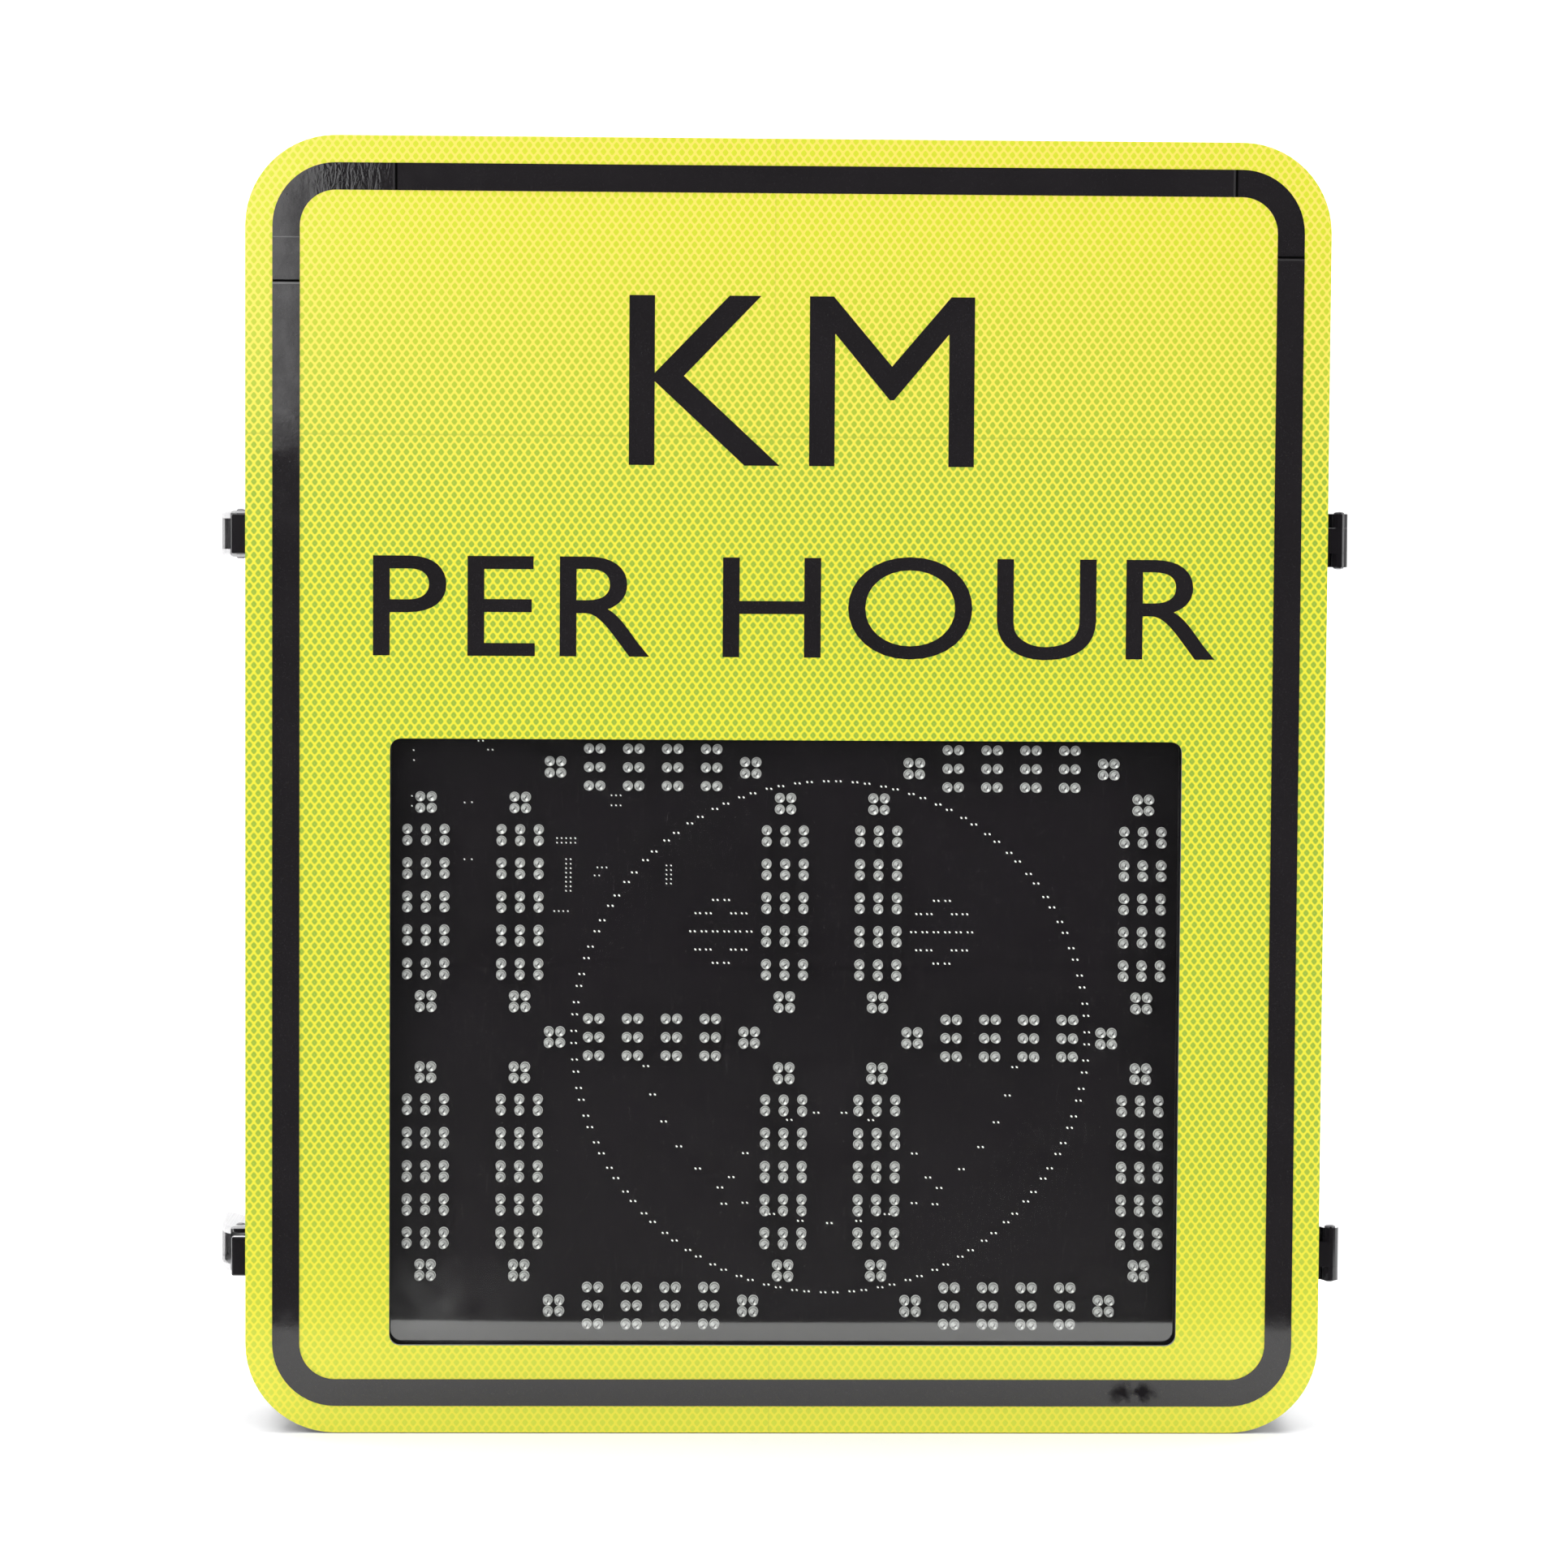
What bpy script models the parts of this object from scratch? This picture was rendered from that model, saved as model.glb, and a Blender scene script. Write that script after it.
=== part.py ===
"""Radar speed-feedback sign with a hinged front door.

Frame: X to the right and Y to the back as the reader faces the sign, Z up.
The origin is the centre of the pole bracket's rear face.
All driving dimensions are in millimetres; MM turns them into metres.
"""
from math import cos, pi, radians, sin

import bmesh
import bpy
from mathutils import Vector

MM = 0.001
GAP = 0.3                      # clearance between touching pieces

# Sign face
SIGN_W, SIGN_H, SIGN_R = 600.0, 720.0, 50.0
SIGN_T = 3.0
SIGN_FRONT = -224.0            # Y of the reflective face
SIGN_BOTTOM = -303.0
SIGN_MID_Z = SIGN_BOTTOM + SIGN_H / 2
WINDOW_W, WINDOW_H, WINDOW_R = 440.0, 339.0, 6.0
WINDOW_Z = SIGN_BOTTOM + SIGN_H - 332.0 - WINDOW_H / 2

# Box and door
BOX_W, BOX_H, BOX_R = 584.0, 572.0, 14.0
WALL = 2.5
RIM_FLANGE = 12.0              # width of the mouth frame that carries the door seal
FLANGE_T = 3.0
RIM_Y = -191.0                 # front of the box's mouth frame
BOX_MOUTH = RIM_Y + FLANGE_T + GAP
SEAL_T = 2.7
PLATE_T = 5.0                  # pole bracket
RAIL_D, RAIL_H, RAIL_L, RAIL_T = 20.0, 41.0, 480.0, 2.5
RAIL_SLOT = 20.0
RAIL_Z = 150.0
RAIL_BACK = -(PLATE_T + GAP)
BOX_BACK = RAIL_BACK - RAIL_D - GAP
INNER_BACK = BOX_BACK - WALL
DOOR_FRONT = SIGN_FRONT + SIGN_T + GAP
DOOR_INNER = DOOR_FRONT + WALL
DOOR_RIM = RIM_Y - GAP - SEAL_T - GAP

# Window pane and display
PANE_W, PANE_H, PANE_T = 464.0, 363.0, 3.0
GASKET_T, GASKET_LIP = 2.0, 7.0
CLAMP_T = 2.0
PANE_FRONT = DOOR_INNER + GAP + GASKET_T + GAP
CLAMP_FRONT = PANE_FRONT + PANE_T + GAP
CLAMP_BACK = CLAMP_FRONT + CLAMP_T
LED_TALL = 8.6
LED_PITCH, LED_GROUP = 6.4, 10.4
LED_R = 2.9                    # flange radius
LED_TIP = PANE_FRONT + PANE_T + 1.7
BOARD_FRONT = LED_TIP + LED_TALL
BOARD_T = 1.6
DISPLAY_Z = WINDOW_Z + 1.4
BAR_STEP = 151.6               # height between two horizontal bars
LEADING_ONE_X = -201.0
DIGITS = {"tens": (-148.4, 0.0), "units": (52.4, 200.8)}
COLUMN_BLOCK, COLUMN_END = 37.6, 55.8
BAR_BLOCK, BAR_END = 32.8, 54.6

# Fittings in the bottom wall
GLAND_X, GLAND_Y, GLAND_R = 180.0, -70.0, 10.0
GLAND_BORE = 5.0
VENT_X, VENT_R = -180.0, 6.0

# Hinges and latches, which share two heights
HARDWARE_Z = {"upper": 197.5, "lower": -206.5}
HINGE_X, HINGE_Y = 311.0, -190.0
KNUCKLE_R, HINGE_PIN_R = 5.0, 2.0
KNUCKLE_Z = (-15.0, -7.2, 7.2, 15.0)
LEAF_T = 4.0
LATCH_Y = -190.0
LEVER_PIVOT = (14.5, -14.0)    # outward from the box side, forward of LATCH_Y
BAIL_PIVOT = (10.5, -26.0)
BAIL_HOOK = (13.0, 12.0)
LEVER_HALF, LEVER_T = 13.0, 1.5
TRUNNION_R = 2.5
WIRE_R = 1.25
BAIL_HALF = 6.8
KEEPER_OUT = 17.0
KEEPER_HALF = 11.0
BASE_HALF = 12.0


def clear_scene():
    for item in list(bpy.data.objects):
        bpy.data.objects.remove(item, do_unlink=True)
    for mesh in list(bpy.data.meshes):
        bpy.data.meshes.remove(mesh)


def finish(item, colour, roughness, metallic=0.0):
    """Give an object its own Principled material."""
    material = bpy.data.materials.new(item.name)
    material.use_nodes = True
    shader = material.node_tree.nodes["Principled BSDF"]
    shader.inputs["Base Color"].default_value = (*colour, 1.0)
    shader.inputs["Roughness"].default_value = roughness
    shader.inputs["Metallic"].default_value = metallic
    item.data.materials.clear()
    item.data.materials.append(material)
    return item


def axis_empty(name, x, y, z, parent=None):
    """An empty on a joint's axis; what turns there is parented to it."""
    empty = bpy.data.objects.new(name, None)
    bpy.context.collection.objects.link(empty)
    empty.empty_display_size = 0.02
    here = Vector((x, y, z)) * MM
    empty.parent = parent
    empty.location = here - (parent_place(parent) if parent else Vector())
    return empty


def parent_place(parent):
    place = Vector()
    while parent:
        place += parent.location
        parent = parent.parent
    return place


def add_object(name, bm, parent=None):
    """Link a bmesh, drawn in world millimetres, as a named object."""
    bmesh.ops.recalc_face_normals(bm, faces=bm.faces[:])
    bmesh.ops.scale(bm, vec=(MM, MM, MM), verts=bm.verts[:])
    bmesh.ops.translate(bm, vec=-parent_place(parent), verts=bm.verts[:])
    mesh = bpy.data.meshes.new(name)
    bm.to_mesh(mesh)
    bm.free()
    mesh.shade_smooth()
    mesh.set_sharp_from_angle(angle=radians(35))
    item = bpy.data.objects.new(name, mesh)
    bpy.context.collection.objects.link(item)
    item.parent = parent
    return item


def rounded(width, height, radius, mid=(0.0, 0.0), steps=6):
    """Points of a rounded rectangle, anticlockwise."""
    points = []
    for turn, (sx, sz) in enumerate(((1, 1), (-1, 1), (-1, -1), (1, -1))):
        cx = mid[0] + sx * (width / 2 - radius)
        cz = mid[1] + sz * (height / 2 - radius)
        for step in range(steps + 1):
            angle = (turn + step / steps) * pi / 2
            points.append((cx + radius * cos(angle), cz + radius * sin(angle)))
    return points


def rectangle(low_a, high_a, low_b, high_b):
    return [(low_a, low_b), (high_a, low_b), (high_a, high_b), (low_a, high_b)]


def circle(radius, mid=(0.0, 0.0), steps=24, start=0.0):
    return [(mid[0] + radius * cos(start + 2 * pi * step / steps),
             mid[1] + radius * sin(start + 2 * pi * step / steps)) for step in range(steps)]


PLACE = {"X": lambda a, b, t: (t, a, b), "Y": lambda a, b, t: (a, t, b), "Z": lambda a, b, t: (a, b, t)}


def extruded(loops, axis, low, high):
    """A flat outline, with any holes after it, pulled along one axis."""
    bm = bmesh.new()
    edges = []
    for loop in loops:
        verts = [bm.verts.new(PLACE[axis](a, b, low)) for a, b in loop]
        edges += [bm.edges.new((verts[i - 1], verts[i])) for i in range(len(verts))]
    bmesh.ops.triangle_fill(bm, use_beauty=True, edges=edges)
    pulled = bmesh.ops.extrude_face_region(bm, geom=bm.faces[:], use_keep_orig=True)
    moved = [part for part in pulled["geom"] if isinstance(part, bmesh.types.BMVert)]
    bmesh.ops.translate(bm, vec=PLACE[axis](0.0, 0.0, high - low), verts=moved)
    bmesh.ops.recalc_face_normals(bm, faces=bm.faces[:])
    bmesh.ops.dissolve_limit(bm, angle_limit=radians(1), verts=bm.verts[:], edges=bm.edges[:])
    return bm


def prism(name, loops, axis, low, high, parent=None):
    return add_object(name, extruded(loops, axis, low, high), parent)


def block(name, x, y, z, parent=None):
    """A box from three (low, high) pairs."""
    return prism(name, [rectangle(*x, *z)], "Y", *y, parent)


def soften(item, width, segments=2, angle=40):
    bevel = item.modifiers.new("edges", "BEVEL")
    bevel.width = width * MM
    bevel.segments = segments
    bevel.limit_method = "ANGLE"
    bevel.angle_limit = radians(angle)
    bevel.harden_normals = False
    return item


def boolean(item, other, operation):
    other.hide_render = True
    other.display_type = "WIRE"
    change = item.modifiers.new(other.name, "BOOLEAN")
    change.operation = operation
    change.solver = "EXACT"
    change.object = other
    return item


def cut(item, other):
    return boolean(item, other, "DIFFERENCE")


def fuse(item, other):
    return boolean(item, other, "UNION")


# ---------------------------------------------------------------- door

def sign_panel(door):
    outer = rounded(SIGN_W, SIGN_H, SIGN_R, (0, SIGN_MID_Z), steps=14)
    window = rounded(WINDOW_W, WINDOW_H, WINDOW_R, (0, WINDOW_Z), steps=5)
    panel = prism("sign_panel", [outer, window], "Y", SIGN_FRONT, SIGN_FRONT + SIGN_T, door)
    finish(panel, (0.78, 0.85, 0.06), 0.35)


def door_shell(door):
    shell = prism("door_shell", [rounded(BOX_W, BOX_H, BOX_R)], "Y", DOOR_FRONT, DOOR_RIM, door)
    soften(shell, 1.0)
    inner = rounded(BOX_W - 2 * WALL, BOX_H - 2 * WALL, BOX_R - WALL)
    cut(shell, prism("door_hollow", [inner], "Y", DOOR_INNER, DOOR_RIM + 5, door))
    opening = rounded(WINDOW_W + 4, WINDOW_H + 4, WINDOW_R + 2, (0, WINDOW_Z), steps=4)
    cut(shell, prism("door_window", [opening], "Y", DOOR_FRONT - 5, DOOR_INNER + 5, door))
    finish(shell, (0.62, 0.63, 0.64), 0.4)


def pane_ring(name, front, thick, door):
    """A flat frame that bears on the pane's edge."""
    outer = rounded(PANE_W, PANE_H, 4, (0, WINDOW_Z), steps=3)
    inner = rounded(PANE_W - 2 * GASKET_LIP, PANE_H - 2 * GASKET_LIP, 8, (0, WINDOW_Z), steps=3)
    return prism(name, [outer, inner], "Y", front, front + thick, door)


def window_pieces(door):
    finish(pane_ring("window_gasket", DOOR_INNER + GAP, GASKET_T, door), (0.02, 0.02, 0.02), 0.8)
    pane = prism("window_pane", [rounded(PANE_W, PANE_H, 4, (0, WINDOW_Z), steps=3)],
                 "Y", PANE_FRONT, PANE_FRONT + PANE_T, door)
    finish(pane, (0.9, 0.92, 0.94), 0.03)
    finish(pane_ring("pane_clamp_frame", CLAMP_FRONT, CLAMP_T, door), (0.72, 0.73, 0.74), 0.3, 1.0)
    board = prism("display_board", [rounded(PANE_W, PANE_H, 2, (0, WINDOW_Z), steps=2)],
                  "Y", BOARD_FRONT, BOARD_FRONT + BOARD_T, door)
    finish(board, (0.012, 0.012, 0.014), 0.35)
    for side, sx in (("left", -1), ("right", 1)):
        for level, sz in (("upper", 1), ("lower", -1)):
            middle = (sx * (PANE_W - GASKET_LIP) / 2, WINDOW_Z + sz * (PANE_H - GASKET_LIP) / 2)
            spacer = prism(f"{level}_{side}_standoff", [circle(3.2, middle, steps=6)],
                           "Y", CLAMP_BACK + GAP, BOARD_FRONT - GAP, door)
            finish(spacer, (0.75, 0.66, 0.38), 0.35, 1.0)


def led_bank(name, mid_x, mid_z, block_reach, end_reach, upright, door):
    """The stepped envelope of the LEDs that make up one display segment."""
    wide = LED_GROUP + LED_R
    narrow = LED_PITCH / 2 + LED_R
    shoulder = block_reach + LED_PITCH / 2 + LED_R
    tip = end_reach + LED_PITCH / 2 + LED_R
    quarter = [(narrow, tip), (narrow, shoulder), (wide, shoulder)]
    outline = []
    for sx, sz in ((1, 1), (1, -1), (-1, -1), (-1, 1)):
        corner = [(sx * a, sz * b) for a, b in quarter]
        outline += corner if sx * sz > 0 else corner[::-1]
    if not upright:
        outline = [(b, a) for a, b in outline]
    placed = [(mid_x + a, mid_z + b) for a, b in outline]
    bank = prism(name, [placed], "Y", LED_TIP, BOARD_FRONT - GAP, door)
    finish(bank, (0.75, 0.77, 0.78), 0.15)


def led_banks(door):
    half = BAR_STEP / 2
    for level, sz in (("upper", 1), ("lower", -1)):
        column = (DISPLAY_Z + sz * half, COLUMN_BLOCK, COLUMN_END, True, door)
        led_bank(f"leading_one_{level}_leds", LEADING_ONE_X, *column)
        for digit, sides in DIGITS.items():
            for side, x in zip(("left", "right"), sides):
                led_bank(f"{digit}_{level}_{side}_leds", x, *column)
    for digit, (left, right) in DIGITS.items():
        for name, step in (("top", 1), ("middle", 0), ("bottom", -1)):
            height = DISPLAY_Z + step * BAR_STEP
            led_bank(f"{digit}_{name}_bar_leds", (left + right) / 2, height, BAR_BLOCK, BAR_END, False, door)


def hat_strap(name, mid, half_w, seat, top, thick, z_range, parent):
    """A strap bent over a box-shaped piece, with a foot at each side."""
    foot = 16.0
    side = half_w + GAP + thick
    away = thick if top > seat else -thick
    outline = [(-side - foot, seat), (-side - foot, seat + away), (-side, seat + away), (-side, top + away),
               (side, top + away), (side, seat + away), (side + foot, seat + away), (side + foot, seat),
               (half_w + GAP, seat), (half_w + GAP, top), (-half_w - GAP, top), (-half_w - GAP, seat)]
    return prism(name, [[(mid + a, b) for a, b in outline]], "Z", *z_range, parent)


def door_electronics(door):
    seat = DOOR_INNER + GAP
    case = block("controller_unit", (-190, -40), (seat, seat + 28), (128, 228), door)
    soften(case, 3)
    fuse(case, block("controller_terminals", (-176, -54), (seat + 20, seat + 24), (120, 140), door))
    finish(case, (0.05, 0.055, 0.06), 0.5)
    radar = block("radar_module", (40, 160), (seat, seat + 22), (135, 225), door)
    finish(soften(radar, 4), (0.82, 0.82, 0.8), 0.45)
    strap = hat_strap("radar_bracket", 100, 60, seat, seat + 22 + GAP, 1.5, (168, 192), door)
    finish(strap, (0.7, 0.71, 0.72), 0.35, 1.0)


# ---------------------------------------------------------------- box

def enclosure_box():
    box = prism("enclosure_box", [rounded(BOX_W, BOX_H, BOX_R)], "Y", BOX_MOUTH, BOX_BACK)
    soften(box, 1.0)
    inner = rounded(BOX_W - 2 * WALL, BOX_H - 2 * WALL, BOX_R - WALL)
    cut(box, prism("box_hollow", [inner], "Y", BOX_MOUTH - 5, INNER_BACK))
    for name, x, radius in (("gland_hole", GLAND_X, GLAND_R), ("vent_hole", VENT_X, VENT_R)):
        ring = circle(radius + GAP, (x, GLAND_Y))
        cut(box, prism(name, [ring], "Z", -BOX_H / 2 - 5, -BOX_H / 2 + WALL + 5))
    finish(box, (0.62, 0.63, 0.64), 0.4)


def enclosure_rim():
    """The flat frame welded round the box's mouth, which the door seal lies on."""
    mouth = rounded(BOX_W - 2 * RIM_FLANGE, BOX_H - 2 * RIM_FLANGE, 6, steps=4)
    rim = prism("enclosure_rim", [rounded(BOX_W, BOX_H, BOX_R, steps=4), mouth], "Y", RIM_Y, BOX_MOUTH - GAP)
    finish(rim, (0.62, 0.63, 0.64), 0.4)


def door_seal():
    edge = 1.0
    outer = rounded(BOX_W - 2 * edge, BOX_H - 2 * edge, BOX_R - edge, steps=4)
    inner = rounded(BOX_W - 2 * RIM_FLANGE + 2, BOX_H - 2 * RIM_FLANGE + 2, 6, steps=4)
    seal = prism("door_seal", [outer, inner], "Y", RIM_Y - GAP - SEAL_T, RIM_Y - GAP)
    finish(seal, (0.03, 0.03, 0.03), 0.9)


def bottom_fittings():
    floor = -BOX_H / 2
    spot = (GLAND_X, GLAND_Y)
    bore = circle(GLAND_BORE, spot)
    gland = prism("cable_gland", [circle(13.5, spot, steps=6), bore], "Z", floor - GAP - 6, floor - GAP)
    fuse(gland, prism("gland_thread", [circle(GLAND_R, spot), bore], "Z", floor - 2, floor + WALL + 9))
    fuse(gland, prism("gland_cap", [circle(11, spot, steps=18), bore], "Z", floor - 15, floor - 5))
    finish(gland, (0.03, 0.03, 0.03), 0.55)
    nut = prism("gland_locknut", [circle(14.5, spot, steps=6), circle(GLAND_R + GAP, spot)],
                "Z", floor + WALL + GAP, floor + WALL + GAP + 5)
    finish(nut, (0.03, 0.03, 0.03), 0.55)
    hole = (VENT_X, GLAND_Y)
    vent = prism("vent_plug", [circle(9, hole, steps=18)], "Z", floor - GAP - 5, floor - GAP)
    fuse(vent, prism("vent_stem", [circle(VENT_R, hole, steps=18)], "Z", floor - 2, floor + WALL + 4))
    finish(vent, (0.03, 0.03, 0.03), 0.6)


def rails_and_bracket():
    half = RAIL_H / 2
    for level, sz in (("upper", 1), ("lower", -1)):
        rail = block(f"{level}_rail", (-RAIL_L / 2, RAIL_L / 2), (RAIL_BACK - RAIL_D, RAIL_BACK),
                     (sz * RAIL_Z - half, sz * RAIL_Z + half))
        low, high = sz * RAIL_Z - half + RAIL_T, sz * RAIL_Z + half - RAIL_T
        reach = (-RAIL_L / 2 - 5, RAIL_L / 2 + 5)
        cut(rail, block(f"{level}_rail_hollow", reach,
                        (RAIL_BACK - RAIL_D + RAIL_T, RAIL_BACK - RAIL_T), (low, high)))
        slot = (sz * RAIL_Z - RAIL_SLOT / 2, sz * RAIL_Z + RAIL_SLOT / 2)
        cut(rail, block(f"{level}_rail_slot", reach, (RAIL_BACK - RAIL_T - 1, RAIL_BACK + 5), slot))
        finish(rail, (0.74, 0.75, 0.76), 0.35, 1.0)
    slots = [rounded(9, 25, 4.4, (sx * 42, sz * 80), steps=4) for sx in (-1, 1) for sz in (-1, 1)]
    bracket = prism("pole_bracket", [rounded(120, 370, 10), *slots], "Y", -PLATE_T, 0)
    finish(bracket, (0.7, 0.71, 0.72), 0.4, 1.0)


def box_electronics():
    seat = INNER_BACK - GAP
    plate = block("mounting_plate", (-250, 250), (seat - 2, seat), (-250, 250))
    finish(plate, (0.72, 0.73, 0.74), 0.4, 1.0)
    deck = seat - 2 - GAP
    floor = -BOX_H / 2 + WALL + GAP
    battery = block("battery", (-90.5, 90.5), (deck - 77, deck), (floor, floor + 167))
    finish(soften(battery, 2), (0.06, 0.06, 0.065), 0.5)
    strap = hat_strap("battery_strap", 0, 90.5, deck, deck - 77 - GAP, 2, (-215, -185), None)
    finish(strap, (0.7, 0.71, 0.72), 0.35, 1.0)
    charger = block("charge_controller", (-200, -60), (deck - 32, deck), (30, 105))
    soften(charger, 3)
    fuse(charger, block("charger_terminals", (-190, -70), (deck - 24, deck - 6), (20, 40)))
    finish(charger, (0.05, 0.09, 0.16), 0.45)
    rail_z = 70.0
    lip, web = 17.5, 12.5
    hat = [(deck, rail_z - web), (deck, rail_z + web), (deck - 6.5, rail_z + web), (deck - 6.5, rail_z + lip),
           (deck - 7.5, rail_z + lip), (deck - 7.5, rail_z + web - 1), (deck - 1, rail_z + web - 1),
           (deck - 1, rail_z - web + 1), (deck - 7.5, rail_z - web + 1), (deck - 7.5, rail_z - lip),
           (deck - 6.5, rail_z - lip), (deck - 6.5, rail_z - web)]
    finish(prism("din_rail", [hat], "X", 10, 200), (0.74, 0.75, 0.76), 0.3, 1.0)
    face = deck - 7.5 - GAP
    breaker = block("circuit_breaker", (60, 78), (face - 44, face), (rail_z - 42, rail_z + 42))
    soften(breaker, 1)
    fuse(breaker, block("breaker_nose", (60.5, 77.5), (face - 62, face - 40), (rail_z - 22, rail_z + 22)))
    nose = face - 62
    cut(breaker, block("toggle_pocket", (65, 73), (nose - 5, nose + 12), (rail_z - 14, rail_z + 14)))
    finish(breaker, (0.78, 0.78, 0.77), 0.5)
    terminals = block("terminal_block", (90, 160), (face - 38, face), (rail_z - 25, rail_z + 25))
    soften(terminals, 1)
    for step in range(7):
        low = 94 + step * 9
        cut(terminals, block(f"wire_entry_{step}", (low, low + 6), (face - 34, face - 26),
                             (rail_z - 30, rail_z - 14)))
    finish(terminals, (0.35, 0.37, 0.38), 0.5)
    breaker_toggle(69.0, nose + 5, rail_z)


def breaker_toggle(x, y, z):
    pivot = axis_empty("toggle_axis", x, y, z)
    drum = [(y + 4 * cos(a * pi / 12), z + 4 * sin(a * pi / 12)) for a in range(24)]
    toggle = prism("breaker_toggle", [drum], "X", x - 3.5, x + 3.5, pivot)
    lean = radians(38)
    along = (-cos(lean), sin(lean))
    across = (-along[1], along[0])
    paddle = [(y + along[0] * a + across[0] * b, z + along[1] * a + across[1] * b)
              for a, b in ((1, -2.2), (14, -1.4), (14, 1.4), (1, 2.2))]
    fuse(toggle, prism("toggle_paddle", [paddle], "X", x - 3, x + 3, pivot))
    finish(toggle, (0.02, 0.02, 0.02), 0.4)


# ---------------------------------------------------------------- hinges

def hinge(level, z, door):
    low, split_low, split_high, high = (z + step for step in KNUCKLE_Z)
    side = BOX_W / 2 + GAP
    hinge_mid = (HINGE_X, HINGE_Y)
    bore = circle(HINGE_PIN_R + GAP, hinge_mid, steps=16)
    barrel = circle(KNUCKLE_R, hinge_mid, steps=24)

    leaf = block(f"{level}_hinge_box_leaf", (side, side + LEAF_T), (HINGE_Y + 1, HINGE_Y + 38), (low, high))
    soften(leaf, 0.8)
    arm_x = (side + 1, HINGE_X)
    for tag, span in (("bottom", (low, split_low)), ("top", (split_high, high))):
        fuse(leaf, block(f"{level}_box_arm_{tag}", arm_x, (HINGE_Y, HINGE_Y + KNUCKLE_R), span))
        fuse(leaf, prism(f"{level}_box_knuckle_{tag}", [barrel], "Z", *span))
    cut(leaf, prism(f"{level}_box_leaf_bore", [bore], "Z", low - 1, high + 1))
    finish(leaf, (0.02, 0.02, 0.022), 0.25)

    span = (split_low + GAP, split_high - GAP)
    leaf = block(f"{level}_hinge_door_leaf", (side, side + LEAF_T), (HINGE_Y - 25, HINGE_Y - 5.5),
                 (low, high), door)
    soften(leaf, 0.8)
    fuse(leaf, block(f"{level}_door_arm", arm_x, (HINGE_Y - KNUCKLE_R, HINGE_Y), span, door))
    fuse(leaf, block(f"{level}_door_neck", (side, side + LEAF_T), (HINGE_Y - 8, HINGE_Y - 0.5), span, door))
    fuse(leaf, prism(f"{level}_door_knuckle", [barrel], "Z", *span, door))
    cut(leaf, prism(f"{level}_door_leaf_bore", [bore], "Z", low - 1, high + 1, door))
    finish(leaf, (0.02, 0.02, 0.022), 0.25)

    pin = prism(f"{level}_hinge_pin", [circle(HINGE_PIN_R, hinge_mid, steps=16)], "Z", low, high)
    finish(pin, (0.7, 0.7, 0.72), 0.25, 1.0)


# ---------------------------------------------------------------- latches

def latch_point(out, forward):
    """Place a latch dimension: outward from the box side, forward of LATCH_Y."""
    return (-BOX_W / 2 - out, LATCH_Y - forward)


def latch_prism(name, outlines, half, z, parent=None):
    loops = [[latch_point(*point) for point in outline] for outline in outlines]
    return prism(name, loops, "Z", z - half, z + half, parent)


def latch_slab(name, outlines, near, far, z, parent=None):
    """A flat cheek between two heights above z; far may be below near."""
    loops = [[latch_point(*point) for point in outline] for outline in outlines]
    return prism(name, loops, "Z", z + min(near, far), z + max(near, far), parent)


def latch_base(level, z):
    base = latch_prism(f"{level}_latch_base", [rectangle(GAP, 3.3, -60, -6)], BASE_HALF, z)
    soften(base, 0.8)
    out, forward = LEVER_PIVOT
    tip = [(out + 4.6 * sin(step * pi / 8), forward - 4.6 * cos(step * pi / 8)) for step in range(9)]
    ear = [(2.0, forward - 4.6), *tip, (2.0, forward + 4.6)]
    for tag, side in (("top", 1), ("bottom", -1)):
        fuse(base, latch_slab(f"{level}_ear_{tag}", [ear], side * 9.0, side * 11.1, z))
        stub = circle(TRUNNION_R, LEVER_PIVOT, steps=16)
        fuse(base, latch_slab(f"{level}_trunnion_{tag}", [stub], side * 10, side * 12.7, z))
    finish(base, (0.02, 0.02, 0.022), 0.3)


LEVER_SIDE = [(9, -8), (20, -8), (23.5, -13), (26, -24), (27.3, -38), (28, -52), (28.2, -64), (24, -64), (9, -38)]
LEVER_INSIDE = [(-5, -4), (18, -4), (21.8, -13.5), (24.4, -24), (25.7, -38), (26.4, -52), (26.5, -62.5),
                (24.87, -62.5), (10.3, -37.25), (-5, -37.25)]    # leaves a web under the grip


def latch_lever(level, z, pivot):
    out_edge = BOX_W / 2 + 19
    loops = [[latch_point(*point) for point in LEVER_SIDE]]
    bm = extruded(loops, "Z", z - LEVER_HALF, z + LEVER_HALF)
    corners = [edge for edge in bm.edges
               if all(vert.co.x < -out_edge for vert in edge.verts)
               and abs(edge.verts[0].co.z - edge.verts[1].co.z) < 0.01]
    bmesh.ops.bevel(bm, geom=corners, offset=2.2, segments=3, profile=0.5, affect="EDGES")
    lever = add_object(f"{level}_latch_lever", bm, pivot)
    cut(lever, latch_prism(f"{level}_lever_hollow", [LEVER_INSIDE], LEVER_HALF - LEVER_T, z, pivot))
    cut(lever, latch_prism(f"{level}_lever_slot", [rectangle(15, 40, -40, 0)], 8.6, z, pivot))
    holes = ((LEVER_PIVOT, TRUNNION_R, "pivot"), (BAIL_PIVOT, WIRE_R, "bail"))
    for place, radius, tag in holes:
        hole = circle(radius + GAP, place, steps=16)
        cut(lever, latch_prism(f"{level}_lever_{tag}_hole", [hole], LEVER_HALF + 2, z, pivot))
    finish(lever, (0.78, 0.78, 0.78), 0.22, 1.0)


def filleted(points, radius, steps=4):
    """The same route with each inner corner rounded."""
    route = [points[0]]
    for before, here, after in zip(points, points[1:], points[2:]):
        inward = (before - here).normalized()
        onward = (after - here).normalized()
        for step in range(steps + 1):
            share = step / steps
            start, end = here + inward * radius, here + onward * radius
            route.append(start * (1 - share) ** 2 + here * 2 * share * (1 - share) + end * share ** 2)
    return route + [points[-1]]


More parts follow.
